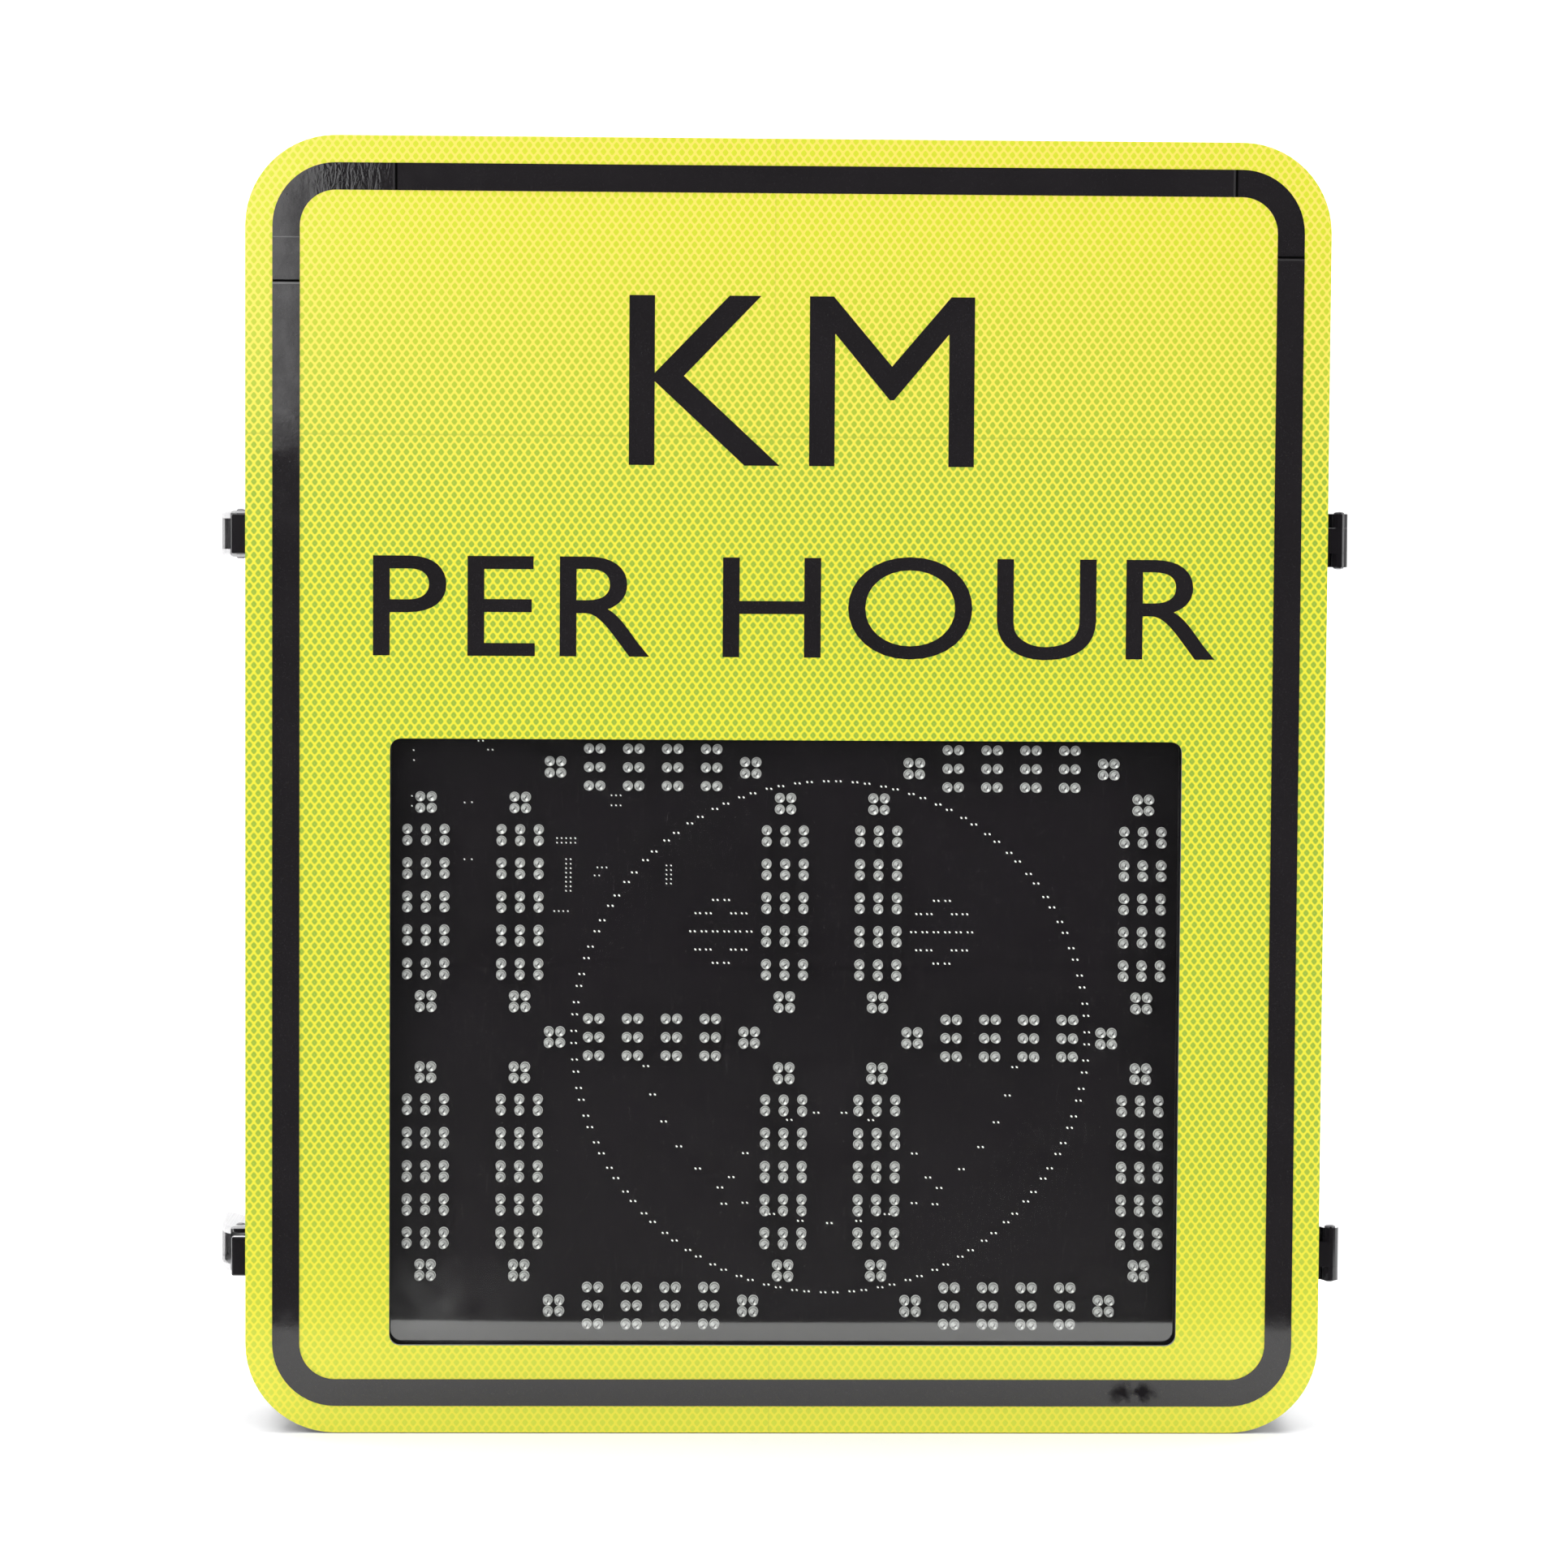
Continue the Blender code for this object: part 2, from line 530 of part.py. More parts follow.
def latch_bail(level, z, pivot):
    ends = {name: Vector((*latch_point(*place), z)) for name, place in
            (("pivot", BAIL_PIVOT), ("hook", BAIL_HOOK))}
    tip, half = Vector((0, 0, LEVER_HALF - 0.3)), Vector((0, 0, BAIL_HALF))
    corners = [ends["pivot"] + tip, ends["pivot"] + half, ends["hook"] + half,
               ends["hook"] - half, ends["pivot"] - half, ends["pivot"] - tip]
    route = filleted(corners, 2.2)
    curve = bpy.data.curves.new(f"{level}_latch_bail", "CURVE")
    curve.dimensions = "3D"
    curve.bevel_depth = WIRE_R * MM
    curve.bevel_resolution = 2
    curve.use_fill_caps = True
    curve.render_resolution_u = 0
    spline = curve.splines.new("POLY")
    spline.points.add(len(route) - 1)
    for point, place in zip(spline.points, route):
        point.co = (*(place * MM - parent_place(pivot)), 1.0)
    bail = bpy.data.objects.new(f"{level}_latch_bail", curve)
    bpy.context.collection.objects.link(bail)
    bail.parent = pivot
    finish(bail, (0.75, 0.75, 0.76), 0.2, 1.0)


def latch_keeper(level, z, door):
    front = rectangle(GAP, KEEPER_OUT, 13.9, 20)
    keeper = latch_prism(f"{level}_latch_keeper", [front], KEEPER_HALF, z, door)
    soften(keeper, 1.0)
    behind = [(GAP, 6), (GAP, 15), (11.4, 15), (11.4, 10.45), (13.2, 10.45), (KEEPER_OUT, 8.9), (KEEPER_OUT, 6)]
    fuse(keeper, latch_prism(f"{level}_keeper_hook", [behind], 5.2, z, door))
    fuse(keeper, latch_prism(f"{level}_keeper_foot", [rectangle(GAP, 3, 6, 28)], 10.4, z, door))
    finish(keeper, (0.02, 0.02, 0.022), 0.2)


def latch(level, z, door):
    latch_base(level, z)
    lever_axis = axis_empty(f"{level}_lever_axis", *latch_point(*LEVER_PIVOT), z)
    latch_lever(level, z, lever_axis)
    latch_bail(level, z, axis_empty(f"{level}_bail_axis", *latch_point(*BAIL_PIVOT), z, lever_axis))
    latch_keeper(level, z, door)


def build():
    clear_scene()
    door = axis_empty("door_axis", HINGE_X, HINGE_Y, 0)
    sign_panel(door)
    door_shell(door)
    window_pieces(door)
    led_banks(door)
    door_electronics(door)
    enclosure_box()
    enclosure_rim()
    door_seal()
    bottom_fittings()
    rails_and_bracket()
    box_electronics()
    for level, z in HARDWARE_Z.items():
        hinge(level, z, door)
        latch(level, z, door)
    bpy.context.view_layer.update()


build()
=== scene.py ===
"""Looks for the radar speed sign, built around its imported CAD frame.

Everything is in metres in the frame's own axes: X right, Y back, Z up. MM turns millimetres into metres.
"""
import math
import random

import bmesh
import bpy
from mathutils import Matrix, Vector


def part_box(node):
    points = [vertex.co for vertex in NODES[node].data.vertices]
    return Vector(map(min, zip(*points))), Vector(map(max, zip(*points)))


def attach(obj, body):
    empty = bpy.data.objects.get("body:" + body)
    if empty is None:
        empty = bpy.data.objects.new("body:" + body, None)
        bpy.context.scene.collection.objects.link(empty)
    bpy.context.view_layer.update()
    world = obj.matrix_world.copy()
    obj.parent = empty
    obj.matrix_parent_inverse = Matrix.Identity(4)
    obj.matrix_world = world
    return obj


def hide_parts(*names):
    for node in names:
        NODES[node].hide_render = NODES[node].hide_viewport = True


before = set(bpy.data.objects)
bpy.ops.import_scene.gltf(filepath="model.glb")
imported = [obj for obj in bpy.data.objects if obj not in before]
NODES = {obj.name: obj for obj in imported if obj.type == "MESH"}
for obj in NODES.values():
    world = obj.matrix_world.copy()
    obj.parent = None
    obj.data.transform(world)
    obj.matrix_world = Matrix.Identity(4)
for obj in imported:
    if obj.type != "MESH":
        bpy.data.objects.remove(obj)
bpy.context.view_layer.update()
MM = 0.001
LEVELS = ("upper", "lower")
FACE_LOW, FACE_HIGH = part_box("sign_panel")
FACE_Y = FACE_LOW.y
BOARD_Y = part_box("display_board")[0].y


# ---------------------------------------------------------------- materials

class Graph:
    """A Principled material and short names for the nodes that feed it."""

    def __init__(self, name, colour=(0.5, 0.5, 0.5), roughness=0.5, metallic=0.0, **plain):
        self.material = bpy.data.materials.new(name)
        self.material.use_nodes = True
        self.tree = self.material.node_tree
        self.shader = self.tree.nodes["Principled BSDF"]
        self.shader.inputs["Base Color"].default_value = (*colour, 1.0)
        self.shader.inputs["Roughness"].default_value = roughness
        self.shader.inputs["Metallic"].default_value = metallic
        for socket, value in plain.items():
            self.shader.inputs[socket.replace("_", " ")].default_value = value

    def node(self, kind):
        return self.tree.nodes.new("ShaderNode" + kind)

    def put(self, socket, value):
        if isinstance(value, bpy.types.NodeSocket):
            self.tree.links.new(value, socket)
        elif isinstance(value, (tuple, list)) and len(value) == 3 and socket.type == "RGBA":
            socket.default_value = (*value, 1.0)
        else:
            socket.default_value = value

    def drive(self, name, value):
        self.put(self.shader.inputs[name], value)

    def place(self, kind="Object"):
        return self.node("TexCoord").outputs[kind]

    def stretched(self, vector, scale):
        node = self.node("Mapping")
        self.put(node.inputs["Vector"], vector)
        node.inputs["Scale"].default_value = scale
        return node.outputs[0]

    def split(self, vector):
        node = self.node("SeparateXYZ")
        self.put(node.inputs[0], vector)
        return node.outputs

    def math(self, operation, a, b=0.0, c=0.0):
        node = self.node("Math")
        node.operation = operation
        for socket, value in zip(node.inputs, (a, b, c)):
            self.put(socket, value)
        return node.outputs[0]

    def times(self, a, b):
        return self.math("MULTIPLY", a, b)

    def larger(self, a, b):
        return self.math("MAXIMUM", a, b)

    def off(self, value, spot):
        """How far a value is from a spot, on either side."""
        return self.math("ABSOLUTE", self.math("SUBTRACT", value, spot))

    def away(self, u, v, spot_u=0.0, spot_v=0.0):
        """Distance from a spot in a plane."""
        squares = [self.math("POWER", self.math("SUBTRACT", value, spot), 2.0)
                   for value, spot in ((u, spot_u), (v, spot_v))]
        return self.math("SQRT", self.math("ADD", *squares))

    def ranged(self, value, low, high, start=0.0, end=1.0, smooth=False):
        node = self.node("MapRange")
        node.interpolation_type = "SMOOTHSTEP" if smooth else "LINEAR"
        for socket, number in zip(node.inputs, (value, low, high, start, end)):
            self.put(socket, number)
        return node.outputs[0]

    def near(self, value, full, gone, most=1.0):
        """Fades smoothly from most, at full, to nothing, at gone."""
        return self.ranged(value, full, gone, most, 0.0, True)

    def noise(self, vector, scale, detail=3.0, roughness=0.5, distortion=0.0):
        node = self.node("TexNoise")
        self.put(node.inputs["Vector"], vector)
        for socket, number in (("Scale", scale), ("Detail", detail), ("Roughness", roughness),
                               ("Distortion", distortion)):
            node.inputs[socket].default_value = number
        return node.outputs["Fac"]

    def cells(self, vector, scale):
        node = self.node("TexVoronoi")
        self.put(node.inputs["Vector"], vector)
        node.inputs["Scale"].default_value = scale
        return node.outputs["Distance"]

    def mix(self, share, first, second):
        node = self.node("Mix")
        node.data_type = "RGBA"
        self.put(node.inputs["Factor"], share)
        self.put(node.inputs[6], first)
        self.put(node.inputs[7], second)
        return node.outputs[2]

    def blend(self, share, first, second):
        """Two shaders, mixed by a share of the second."""
        node = self.node("MixShader")
        for socket, value in zip(node.inputs, (share, first, second)):
            self.put(socket, value)
        return node.outputs[0]

    def bump(self, height, strength, distance):
        node = self.node("Bump")
        node.inputs["Strength"].default_value = strength
        node.inputs["Distance"].default_value = distance
        self.put(node.inputs["Height"], height)
        self.drive("Normal", node.outputs["Normal"])


def tinted(colour, factor):
    return tuple(min(1.0, part * factor) for part in colour)


def moulded(name, colour, roughness, grain=0.02, dust=0.12, coat=0.0):
    """Moulded plastic: fine grain, faint mottling, and dust that dulls the gloss."""
    g = Graph(name, colour, roughness, Coat_Weight=coat, Coat_Roughness=0.08)
    place = g.place()
    broad = g.noise(place, 14, 4)
    g.drive("Base Color", g.mix(g.ranged(broad, 0.35, 0.7), tinted(colour, 0.85), tinted(colour, 1.2)))
    smear = g.noise(g.stretched(place, (1, 1, 0.3)), 40, 5, 0.6)
    g.drive("Roughness", g.ranged(smear, 0.35, 0.7, roughness, roughness + dust))
    g.bump(g.noise(place, 2200, 2), grain, 0.0004)
    return g.material


def powder_coat(name, colour):
    """Satin powder coat with orange peel, light handling marks and road dust towards the bottom."""
    g = Graph(name, colour, 0.42, Specular_IOR_Level=0.45)
    place = g.place()
    height = g.split(place)[2]
    low = g.ranged(height, -0.29, -0.05, 0.5, 0.0)
    film = g.times(low, g.ranged(g.noise(place, 9, 5, 0.6), 0.35, 0.75))
    clean = g.mix(g.noise(place, 5, 3), tinted(colour, 0.94), tinted(colour, 1.05))
    g.drive("Base Color", g.mix(film, clean, (0.36, 0.33, 0.28)))
    scuff = g.noise(g.stretched(place, (1, 1, 14)), 30, 6, 0.65)
    g.drive("Roughness", g.ranged(scuff, 0.4, 0.75, 0.36, 0.58))
    g.bump(g.noise(place, 420, 2, 0.4), 0.12, 0.0006)
    return g.material


def rolled(name, colour, along, roughness=0.3, edge=1.0, metal=1.0):
    """Bare metal with the fine lines of its rolling or brushing along one axis; edge dulls it at a slant."""
    g = Graph(name, colour, roughness, metal, Specular_Tint=(edge, edge, edge, 1))
    place = g.place()
    stretch = tuple(3 if axis == along else 160 for axis in "XYZ")
    lines = g.noise(g.stretched(place, stretch), 9, 5, 0.7)
    stain = g.noise(place, 7, 4, 0.6)
    tone = g.mix(g.ranged(lines, 0.3, 0.7), tinted(colour, 0.82), tinted(colour, 1.12))
    g.drive("Base Color", g.mix(g.ranged(stain, 0.5, 0.8, 0, 0.35), tone, tinted(colour, 0.62)))
    g.drive("Roughness", g.ranged(lines, 0.3, 0.7, roughness - 0.08, roughness + 0.12))
    g.bump(lines, 0.05, 0.0003)
    return g.material


def rubber(name):
    g = Graph(name, (0.02, 0.02, 0.02), 0.8)
    place = g.place()
    g.drive("Base Color", g.mix(g.noise(place, 60, 4), (0.012, 0.012, 0.012), (0.045, 0.044, 0.042)))
    g.bump(g.cells(place, 900), 0.35, 0.0004)
    return g.material


LATTICE_X, LATTICE_Z = 4.8 * MM, 6.76 * MM   # width and height of one prism cell
CELL_WIDE, CELL_TALL = 0.68, 0.57            # share of the lattice that one cell fills
SEAM_Z, SEAM_X = 253 * MM, -8 * MM           # where two sheets of facing meet


def sheeting():
    """Prismatic facing: diamond cells between welded lines, on the front only; bare composite elsewhere."""
    g = Graph("sheeting", (0.7, 0.75, 0.07), 0.32, Coat_Weight=0.35, Coat_Roughness=0.12)
    place = g.place()
    x, _, z = g.split(place)
    across, up = g.math("DIVIDE", x, LATTICE_X), g.math("DIVIDE", z, LATTICE_Z)
    # distance from the middle of the nearest cell along the two runs of welded lines
    runs = []
    for operation in ("ADD", "SUBTRACT"):
        part = g.math("FRACT", g.math("ADD", g.math(operation, across, up), 1000.5))
        runs.append(g.math("SUBTRACT", part, 0.5))
    level = g.math("DIVIDE", g.math("ABSOLUTE", g.math("ADD", *runs)), CELL_WIDE)
    plumb = g.math("DIVIDE", g.math("ABSOLUTE", g.math("SUBTRACT", *runs)), CELL_TALL)
    out = g.math("ADD", g.math("POWER", level, 1.35), g.math("POWER", plumb, 1.35))
    cell = g.ranged(out, 1.12, 0.84, smooth=True)
    heart = g.larger(g.ranged(out, 0.16, 0.05, smooth=True), g.ranged(out, 0.55, 0.80, 0.0, 0.5, True))
    # painted light: the cells read strongest across the middle of the face and fade to yellow at the top and
    # bottom, a painted gradient of light down the face
    painted_light_fade = g.math("MINIMUM", g.ranged(z, 0.40, 0.20, 0.0, 1.0, True),
                  g.ranged(z, -0.30, -0.12, 0.12, 1.0, True))
    cloud = g.ranged(g.noise(place, 3.1, 3), 0.3, 0.7, 0.86, 1.06)
    cell_share_and_painted_light = g.times(painted_light_fade, cloud)
    green = g.mix(heart, (0.265, 0.405, 0.036), (0.40, 0.550, 0.040))
    speck = g.noise(place, 800, 1)
    green = g.mix(g.ranged(speck, 0.38, 0.62, 0, 0.55), green, (0.33, 0.43, 0.040))
    filled = g.mix(cell_share_and_painted_light, (0.60, 0.645, 0.024), green)
    # the welded lines turn paler towards the top: a painted sheen
    weld_and_sheen = g.mix(g.ranged(z, 0.15, 0.38, 0, 1, True), (0.745, 0.69, 0.034), (0.80, 0.68, 0.110))
    face = g.mix(cell, weld_and_sheen, filled)
    seam_up = g.ranged(g.off(z, SEAM_Z), 0.0, 0.0008, 0.55, 0.0)
    seam_side = g.ranged(g.off(x, SEAM_X), 0.0, 0.0006, 0.35, 0.0)
    face = g.mix(g.larger(seam_up, seam_side), face, (0.38, 0.44, 0.04))
    normal = g.node("TexCoord").outputs["Normal"]
    front = g.ranged(g.split(normal)[1], -0.9, -0.8, 1.0, 0.0)
    core = g.mix(g.noise(place, 30, 4), (0.36, 0.365, 0.37), (0.44, 0.445, 0.45))
    g.drive("Base Color", g.mix(front, core, face))
    g.bump(g.times(cell, front), 0.12, 0.0002)
    return g.material


LEFT_Z, PATCH_Z, RIGHT_Z = 337 * MM, 361 * MM, 354 * MM   # where strips of the border meet at the sides
TOP_LEFT_X, TOP_RIGHT_X = -217 * MM, 247 * MM               # and along the top
LIP_OFF = 1.4 * MM
FILM_SEAMS = [  # axis, place, and which side of the face
    ("Z", LEFT_Z, -1), ("X", TOP_LEFT_X, 1), ("X", TOP_RIGHT_X, 1), ("Z", RIGHT_Z, 1)]
RUB_X, RUB_Z = 196 * MM, -281 * MM


def gloss_film():
    """Cut black vinyl: glossy, with orange peel, lapped seams drawn with painted shade in their gaps and
    painted highlights on their raised edges, a wrinkled stretch, specks and fine dust.
    """
    g = Graph("gloss_film", (0.012, 0.011, 0.012), 0.08)
    place = g.place()
    x, _, z = g.split(place)
    dust = g.ranged(g.noise(place, 1400, 1), 0.66, 0.78, 0, 0.5)
    tone = g.mix(g.noise(place, 18, 4), (0.010, 0.009, 0.010), (0.017, 0.015, 0.017))
    tone = g.mix(dust, tone, (0.05, 0.05, 0.05))
    # the patch's end is a painted highlight, a hair line on the left side
    hair_highlight = g.ranged(g.off(z, PATCH_Z), 0.0001, 0.0005, 0.45, 0.0)
    lip_highlight = g.times(hair_highlight, g.ranged(x, -0.21, -0.20, 1.0, 0.0))
    # each lap is a dark line of painted shade, with a painted highlight on the raised edge of the upper strip
    # beside it
    dark = 0.0
    for axis, spot, side in FILM_SEAMS:
        along, across = (z, x) if axis == "Z" else (x, z)
        here = g.ranged(g.times(across, float(side)), 0.20, 0.21)
        gap_shade = g.ranged(g.off(along, spot), 0.0005, 0.0008, 1.0, 0.0)
        edge = g.ranged(g.off(along, spot - LIP_OFF), 0.0002, 0.0007, 0.6 if side < 0 else 0.15, 0.0)
        dark = g.larger(dark, g.times(gap_shade, here))
        lip_highlight = g.larger(lip_highlight, g.times(edge, here))
    tone = g.mix(lip_highlight, tone, (0.16, 0.16, 0.16))
    g.drive("Base Color", g.mix(dark, tone, (0.002, 0.002, 0.002)))
    # a rubbed place near the lower right corner has lost its gloss
    rub = g.near(g.away(x, g.times(z, 2.0), RUB_X, 2 * RUB_Z), 0.008, 0.018)
    rub = g.times(rub, g.ranged(g.noise(place, 120, 3), 0.40, 0.60))
    # the painted shade in the laps loses its gloss as well
    g.drive("Specular IOR Level", g.ranged(g.larger(dark, rub), 0.0, 1.0, 0.64, 0.0))
    ripple = g.noise(place, 24, 3, 0.45)
    peel = g.noise(place, 420, 2, 0.5)
    speck = g.ranged(g.cells(place, 60), 0.0, 0.05, 1.0, 0.0)
    wrinkled = g.times(g.near(g.off(x, -0.240), 0.012, 0.028), g.ranged(z, 0.36, 0.375))
    fold = g.noise(g.stretched(place, (2.2, 1, 0.7)), 130, 2, 0.5, 1.2)
    height = g.math("ADD", g.times(ripple, 1.4), g.times(peel, 0.08))
    height = g.math("ADD", height, g.times(g.times(fold, wrinkled), 2.2))
    g.bump(g.math("ADD", height, g.times(speck, 0.25)), 0.05, 0.0012)
    g.drive("Roughness", g.ranged(g.noise(place, 90, 4), 0.35, 0.7, 0.05, 0.11))
    return g.material


PANE_MIRROR = 0.145     # share of light that the pane mirrors when seen square on


def clear_pane():
    """Clear sheet: see-through, with gloss, dust and a few fine scratches."""
    g = Graph("clear_pane", (0.93, 0.94, 0.95), 0.5, IOR=1.49)
    place = g.place()
    scratch = g.noise(g.stretched(place, (22, 1, 2)), 28, 2, 0.4, 0.6)
    thin = g.ranged(g.off(scratch, 0.5), 0.0, 0.0025, 1.0, 0.0)
    dust = g.ranged(g.noise(place, 900, 2), 0.70, 0.80)
    haze = g.larger(g.times(thin, 0.05), g.times(dust, 0.10))
    # grime that rain has left in the lower left corner
    x, _, z = g.split(place)
    grime = g.near(z, -0.238, -0.198, 0.02)
    grime = g.times(grime, g.near(x, -0.19, -0.13))
    haze = g.larger(haze, g.times(grime, g.ranged(g.noise(place, 55, 4, 0.6), 0.35, 0.65)))
    see = g.node("BsdfTransparent")
    see.inputs["Color"].default_value = (0.96, 0.965, 0.96, 1)
    gloss = g.node("BsdfGlossy")
    gloss.inputs["Roughness"].default_value = 0.03
    bow = g.node("Bump")
    bow.inputs["Strength"].default_value = 1.0
    bow.inputs["Distance"].default_value = 0.0005
    bow.invert = True
    g.put(bow.inputs["Height"], g.noise(place, 4.5, 1))
    g.put(gloss.inputs["Normal"], bow.outputs["Normal"])
    # the outer face carries the mirror share of both, so what is behind stays in view at a slant
    grazing = g.node("LayerWeight")
    grazing.inputs["Blend"].default_value = 0.5
    back = g.node("NewGeometry").outputs["Backfacing"]
    share = g.ranged(g.math("POWER", grazing.outputs["Facing"], 5.0), 0.0, 1.0, PANE_MIRROR, 1.0)
    share = g.times(share, g.math("SUBTRACT", 1.0, back))
    coat = g.blend(share, see.outputs[0], gloss.outputs[0])
    veil = g.blend(haze, coat, g.shader.outputs[0])
    g.put(g.tree.nodes["Material Output"].inputs["Surface"], veil)
    return g.material


def board_mask():
    """Black solder mask with faint traces under it."""
    g = Graph("board_mask", (0.01, 0.008, 0.01), 0.34, Specular_IOR_Level=0.3)
    place = g.place()
    x, _, z = g.split(place)
    tracks = g.ranged(g.math("FRACT", g.times(g.math("ADD", x, z), 190.0)), 0.45, 0.5)
    patch = g.ranged(g.noise(place, 24, 2), 0.5, 0.56)
    g.drive("Base Color", g.mix(g.noise(place, 12, 3), (0.0095, 0.0070, 0.0095), (0.0150, 0.0112, 0.0150)))
    g.bump(g.times(tracks, patch), 0.10, 0.0001)
    g.drive("Roughness", g.ranged(g.noise(place, 50, 4), 0.3, 0.7, 0.30, 0.46))
    return g.material


def led_epoxy():
    """Clear domed LED: the bright cup and the dark lead post across it, with a painted highlight and painted
    shade inside the dome and a faint painted glow.
    """
    g = Graph("led_epoxy", (0.5, 0.5, 0.5), 0.10, Coat_Weight=1.0, Coat_Roughness=0.03)

    def layer(name):
        node = g.node("UVMap")
        node.uv_map = name
        return node.outputs[0]

    u, v, _ = g.split(layer("inside"))
    radius = g.away(u, v)
    post = g.near(g.math("ABSOLUTE", v), 0.06, 0.20)
    post = g.times(post, g.near(radius, 0.34, 0.62))
    chip = g.near(radius, 0.10, 0.22)
    ring = g.near(g.off(radius, 0.62), 0.04, 0.24)
    rim = g.ranged(radius, 0.86, 1.08, 0.0, 1.0, True)
    # the shine map stays square to the frame: a painted highlight low on the right, painted shade low on the
    # left and a weaker painted highlight high on the left
    s, t, _ = g.split(layer("shine"))
    spot = g.near(g.away(s, t, 0.26, -0.50), 0.14, 0.46)
    painted_shade_blot = g.near(g.away(s, t, -0.52, -0.34), 0.08, 0.42, 0.6)
    side = g.near(g.away(s, t, -0.52, 0.42), 0.15, 0.60, 0.6)
    body = g.mix(g.noise(layer("inside"), 5, 3), (0.36, 0.36, 0.355), (0.64, 0.645, 0.635))
    body = g.mix(g.times(ring, 0.5), body, (0.13, 0.13, 0.13))
    body = g.mix(side, body, (0.66, 0.68, 0.66))
    body = g.mix(painted_shade_blot, body, (0.10, 0.105, 0.10))
    body = g.mix(g.larger(g.times(post, 0.85), chip), body, (0.035, 0.032, 0.036))
    body = g.mix(spot, body, (1.0, 1.0, 0.98))
    body = g.mix(g.times(rim, 0.55), body, (0.50, 0.51, 0.48))
    g.drive("Base Color", body)
    # the whole pattern also glows faintly: a painted glow, as these LEDs are not lit
    g.drive("Emission Color", body)
    g.shader.inputs["Emission Strength"].default_value = 0.42
    return g.material


def tinned():
    """Solder with a painted glow, so that it reads pale from any side."""
    g = Graph("tinned_pad", (0.80, 0.80, 0.78), 0.45, Emission_Strength=0.7,
              Emission_Color=(0.95, 0.95, 0.92, 1))
    place = g.place()
    g.drive("Base Color", g.mix(g.noise(place, 300, 2), (0.70, 0.70, 0.68), (0.96, 0.96, 0.94)))
    return g.material


def battery_case():
    """Black ABS case with its moulded ribs and a mottled, dusty tone."""
    g = Graph("battery_case", (0.03, 0.03, 0.032), 0.5)
    place = g.place()
    x = g.split(place)[0]
    rib = g.ranged(g.math("FRACT", g.times(x, 33.0)), 0.42, 0.5)
    g.drive("Base Color", g.mix(g.noise(place, 20, 4), (0.022, 0.022, 0.024), (0.055, 0.054, 0.052)))
    g.bump(g.math("ADD", rib, g.noise(place, 900, 2)), 0.25, 0.0006)
    return g.material


MATERIALS = {
    "sheeting": sheeting(),
    "film": gloss_film(),
    "paint": powder_coat("grey_powder_coat", (0.33, 0.34, 0.35)),
    "gloss_black": moulded("gloss_black_moulding", (0.012, 0.0105, 0.0125), 0.08, dust=0.07, coat=0.6),
    "satin_black": moulded("satin_black_moulding", (0.022, 0.022, 0.024), 0.45, 0.08),
    "dark_device": moulded("dark_device_case", (0.035, 0.037, 0.042), 0.5, 0.12),
    "blue_device": moulded("blue_device_case", (0.03, 0.07, 0.15), 0.42, 0.08),
    "white_device": moulded("white_device_case", (0.66, 0.66, 0.63), 0.42, 0.06),
    "grey_device": moulded("grey_device_case", (0.22, 0.235, 0.24), 0.5, 0.10),
    "steel_y": rolled("bright_plated_steel", (0.42, 0.415, 0.425), "Y", 0.2, 0.5),
    "steel_lever": rolled("plated_lever_steel", (0.76, 0.755, 0.76), "Y", 0.5, 0.6, 0.35),
    "steel_z": rolled("bright_wire_steel", (0.36, 0.355, 0.365), "Z", 0.22, 0.5),
    "aluminium_x": rolled("rolled_aluminium", (0.40, 0.405, 0.41), "X", 0.34),
    "aluminium_z": rolled("rolled_aluminium_upright", (0.38, 0.385, 0.39), "Z", 0.36),
    "brass": rolled("turned_brass", (0.78, 0.62, 0.30), "Y", 0.3),
    "rubber": rubber("foam_rubber"),
    "pane": clear_pane(),
    "board": board_mask(),
    "led": led_epoxy(),
    "pad": tinned(),
    "battery": battery_case(),
    "red_wire": moulded("red_insulation", (0.45, 0.015, 0.012), 0.4, 0.02),
    "black_wire": moulded("black_insulation", (0.015, 0.015, 0.016), 0.4, 0.02),
    "grey_wire": moulded("grey_insulation", (0.25, 0.25, 0.26), 0.42, 0.02),
}

CAD_LOOKS = {
    "sheeting": ["sign_panel"],
    "paint": ["enclosure_box", "enclosure_rim", "door_shell"],
    "gloss_black": [f"{level}_{part}" for level in LEVELS
                    for part in ("hinge_box_leaf", "hinge_door_leaf", "latch_base", "latch_keeper")],
    "satin_black": ["cable_gland", "gland_locknut", "vent_plug", "breaker_toggle"],
    "steel_y": ["din_rail"],
    "steel_lever": ["upper_latch_lever", "lower_latch_lever"],
    "steel_z": [f"{level}_{part}" for level in LEVELS for part in ("latch_bail", "hinge_pin")],
    "aluminium_x": ["upper_rail", "lower_rail", "battery_strap", "radar_bracket", "pane_clamp_frame"],
    "aluminium_z": ["pole_bracket", "mounting_plate"],
    "brass": [f"{level}_{side}_standoff" for level in LEVELS for side in ("left", "right")],
    "rubber": ["door_seal", "window_gasket"],
    "pane": ["window_pane"],
    "board": ["display_board"],
    "battery": ["battery"],
    "dark_device": ["controller_unit"],
    "blue_device": ["charge_controller"],
    "white_device": ["radar_module", "circuit_breaker"],
    "grey_device": ["terminal_block"],
}
LED_BANKS = [name for name in NODES if name.endswith("_leds")]


def dress(item, look):
    item.data.materials.clear()
    item.data.materials.append(MATERIALS[look])


def linked(name, data):
    item = bpy.data.objects.new(name, data)
    bpy.context.collection.objects.link(item)
    return item


for look, names in CAD_LOOKS.items():
    for name in names:
        dress(NODES[name], look)


# ---------------------------------------------------------------- mesh helpers


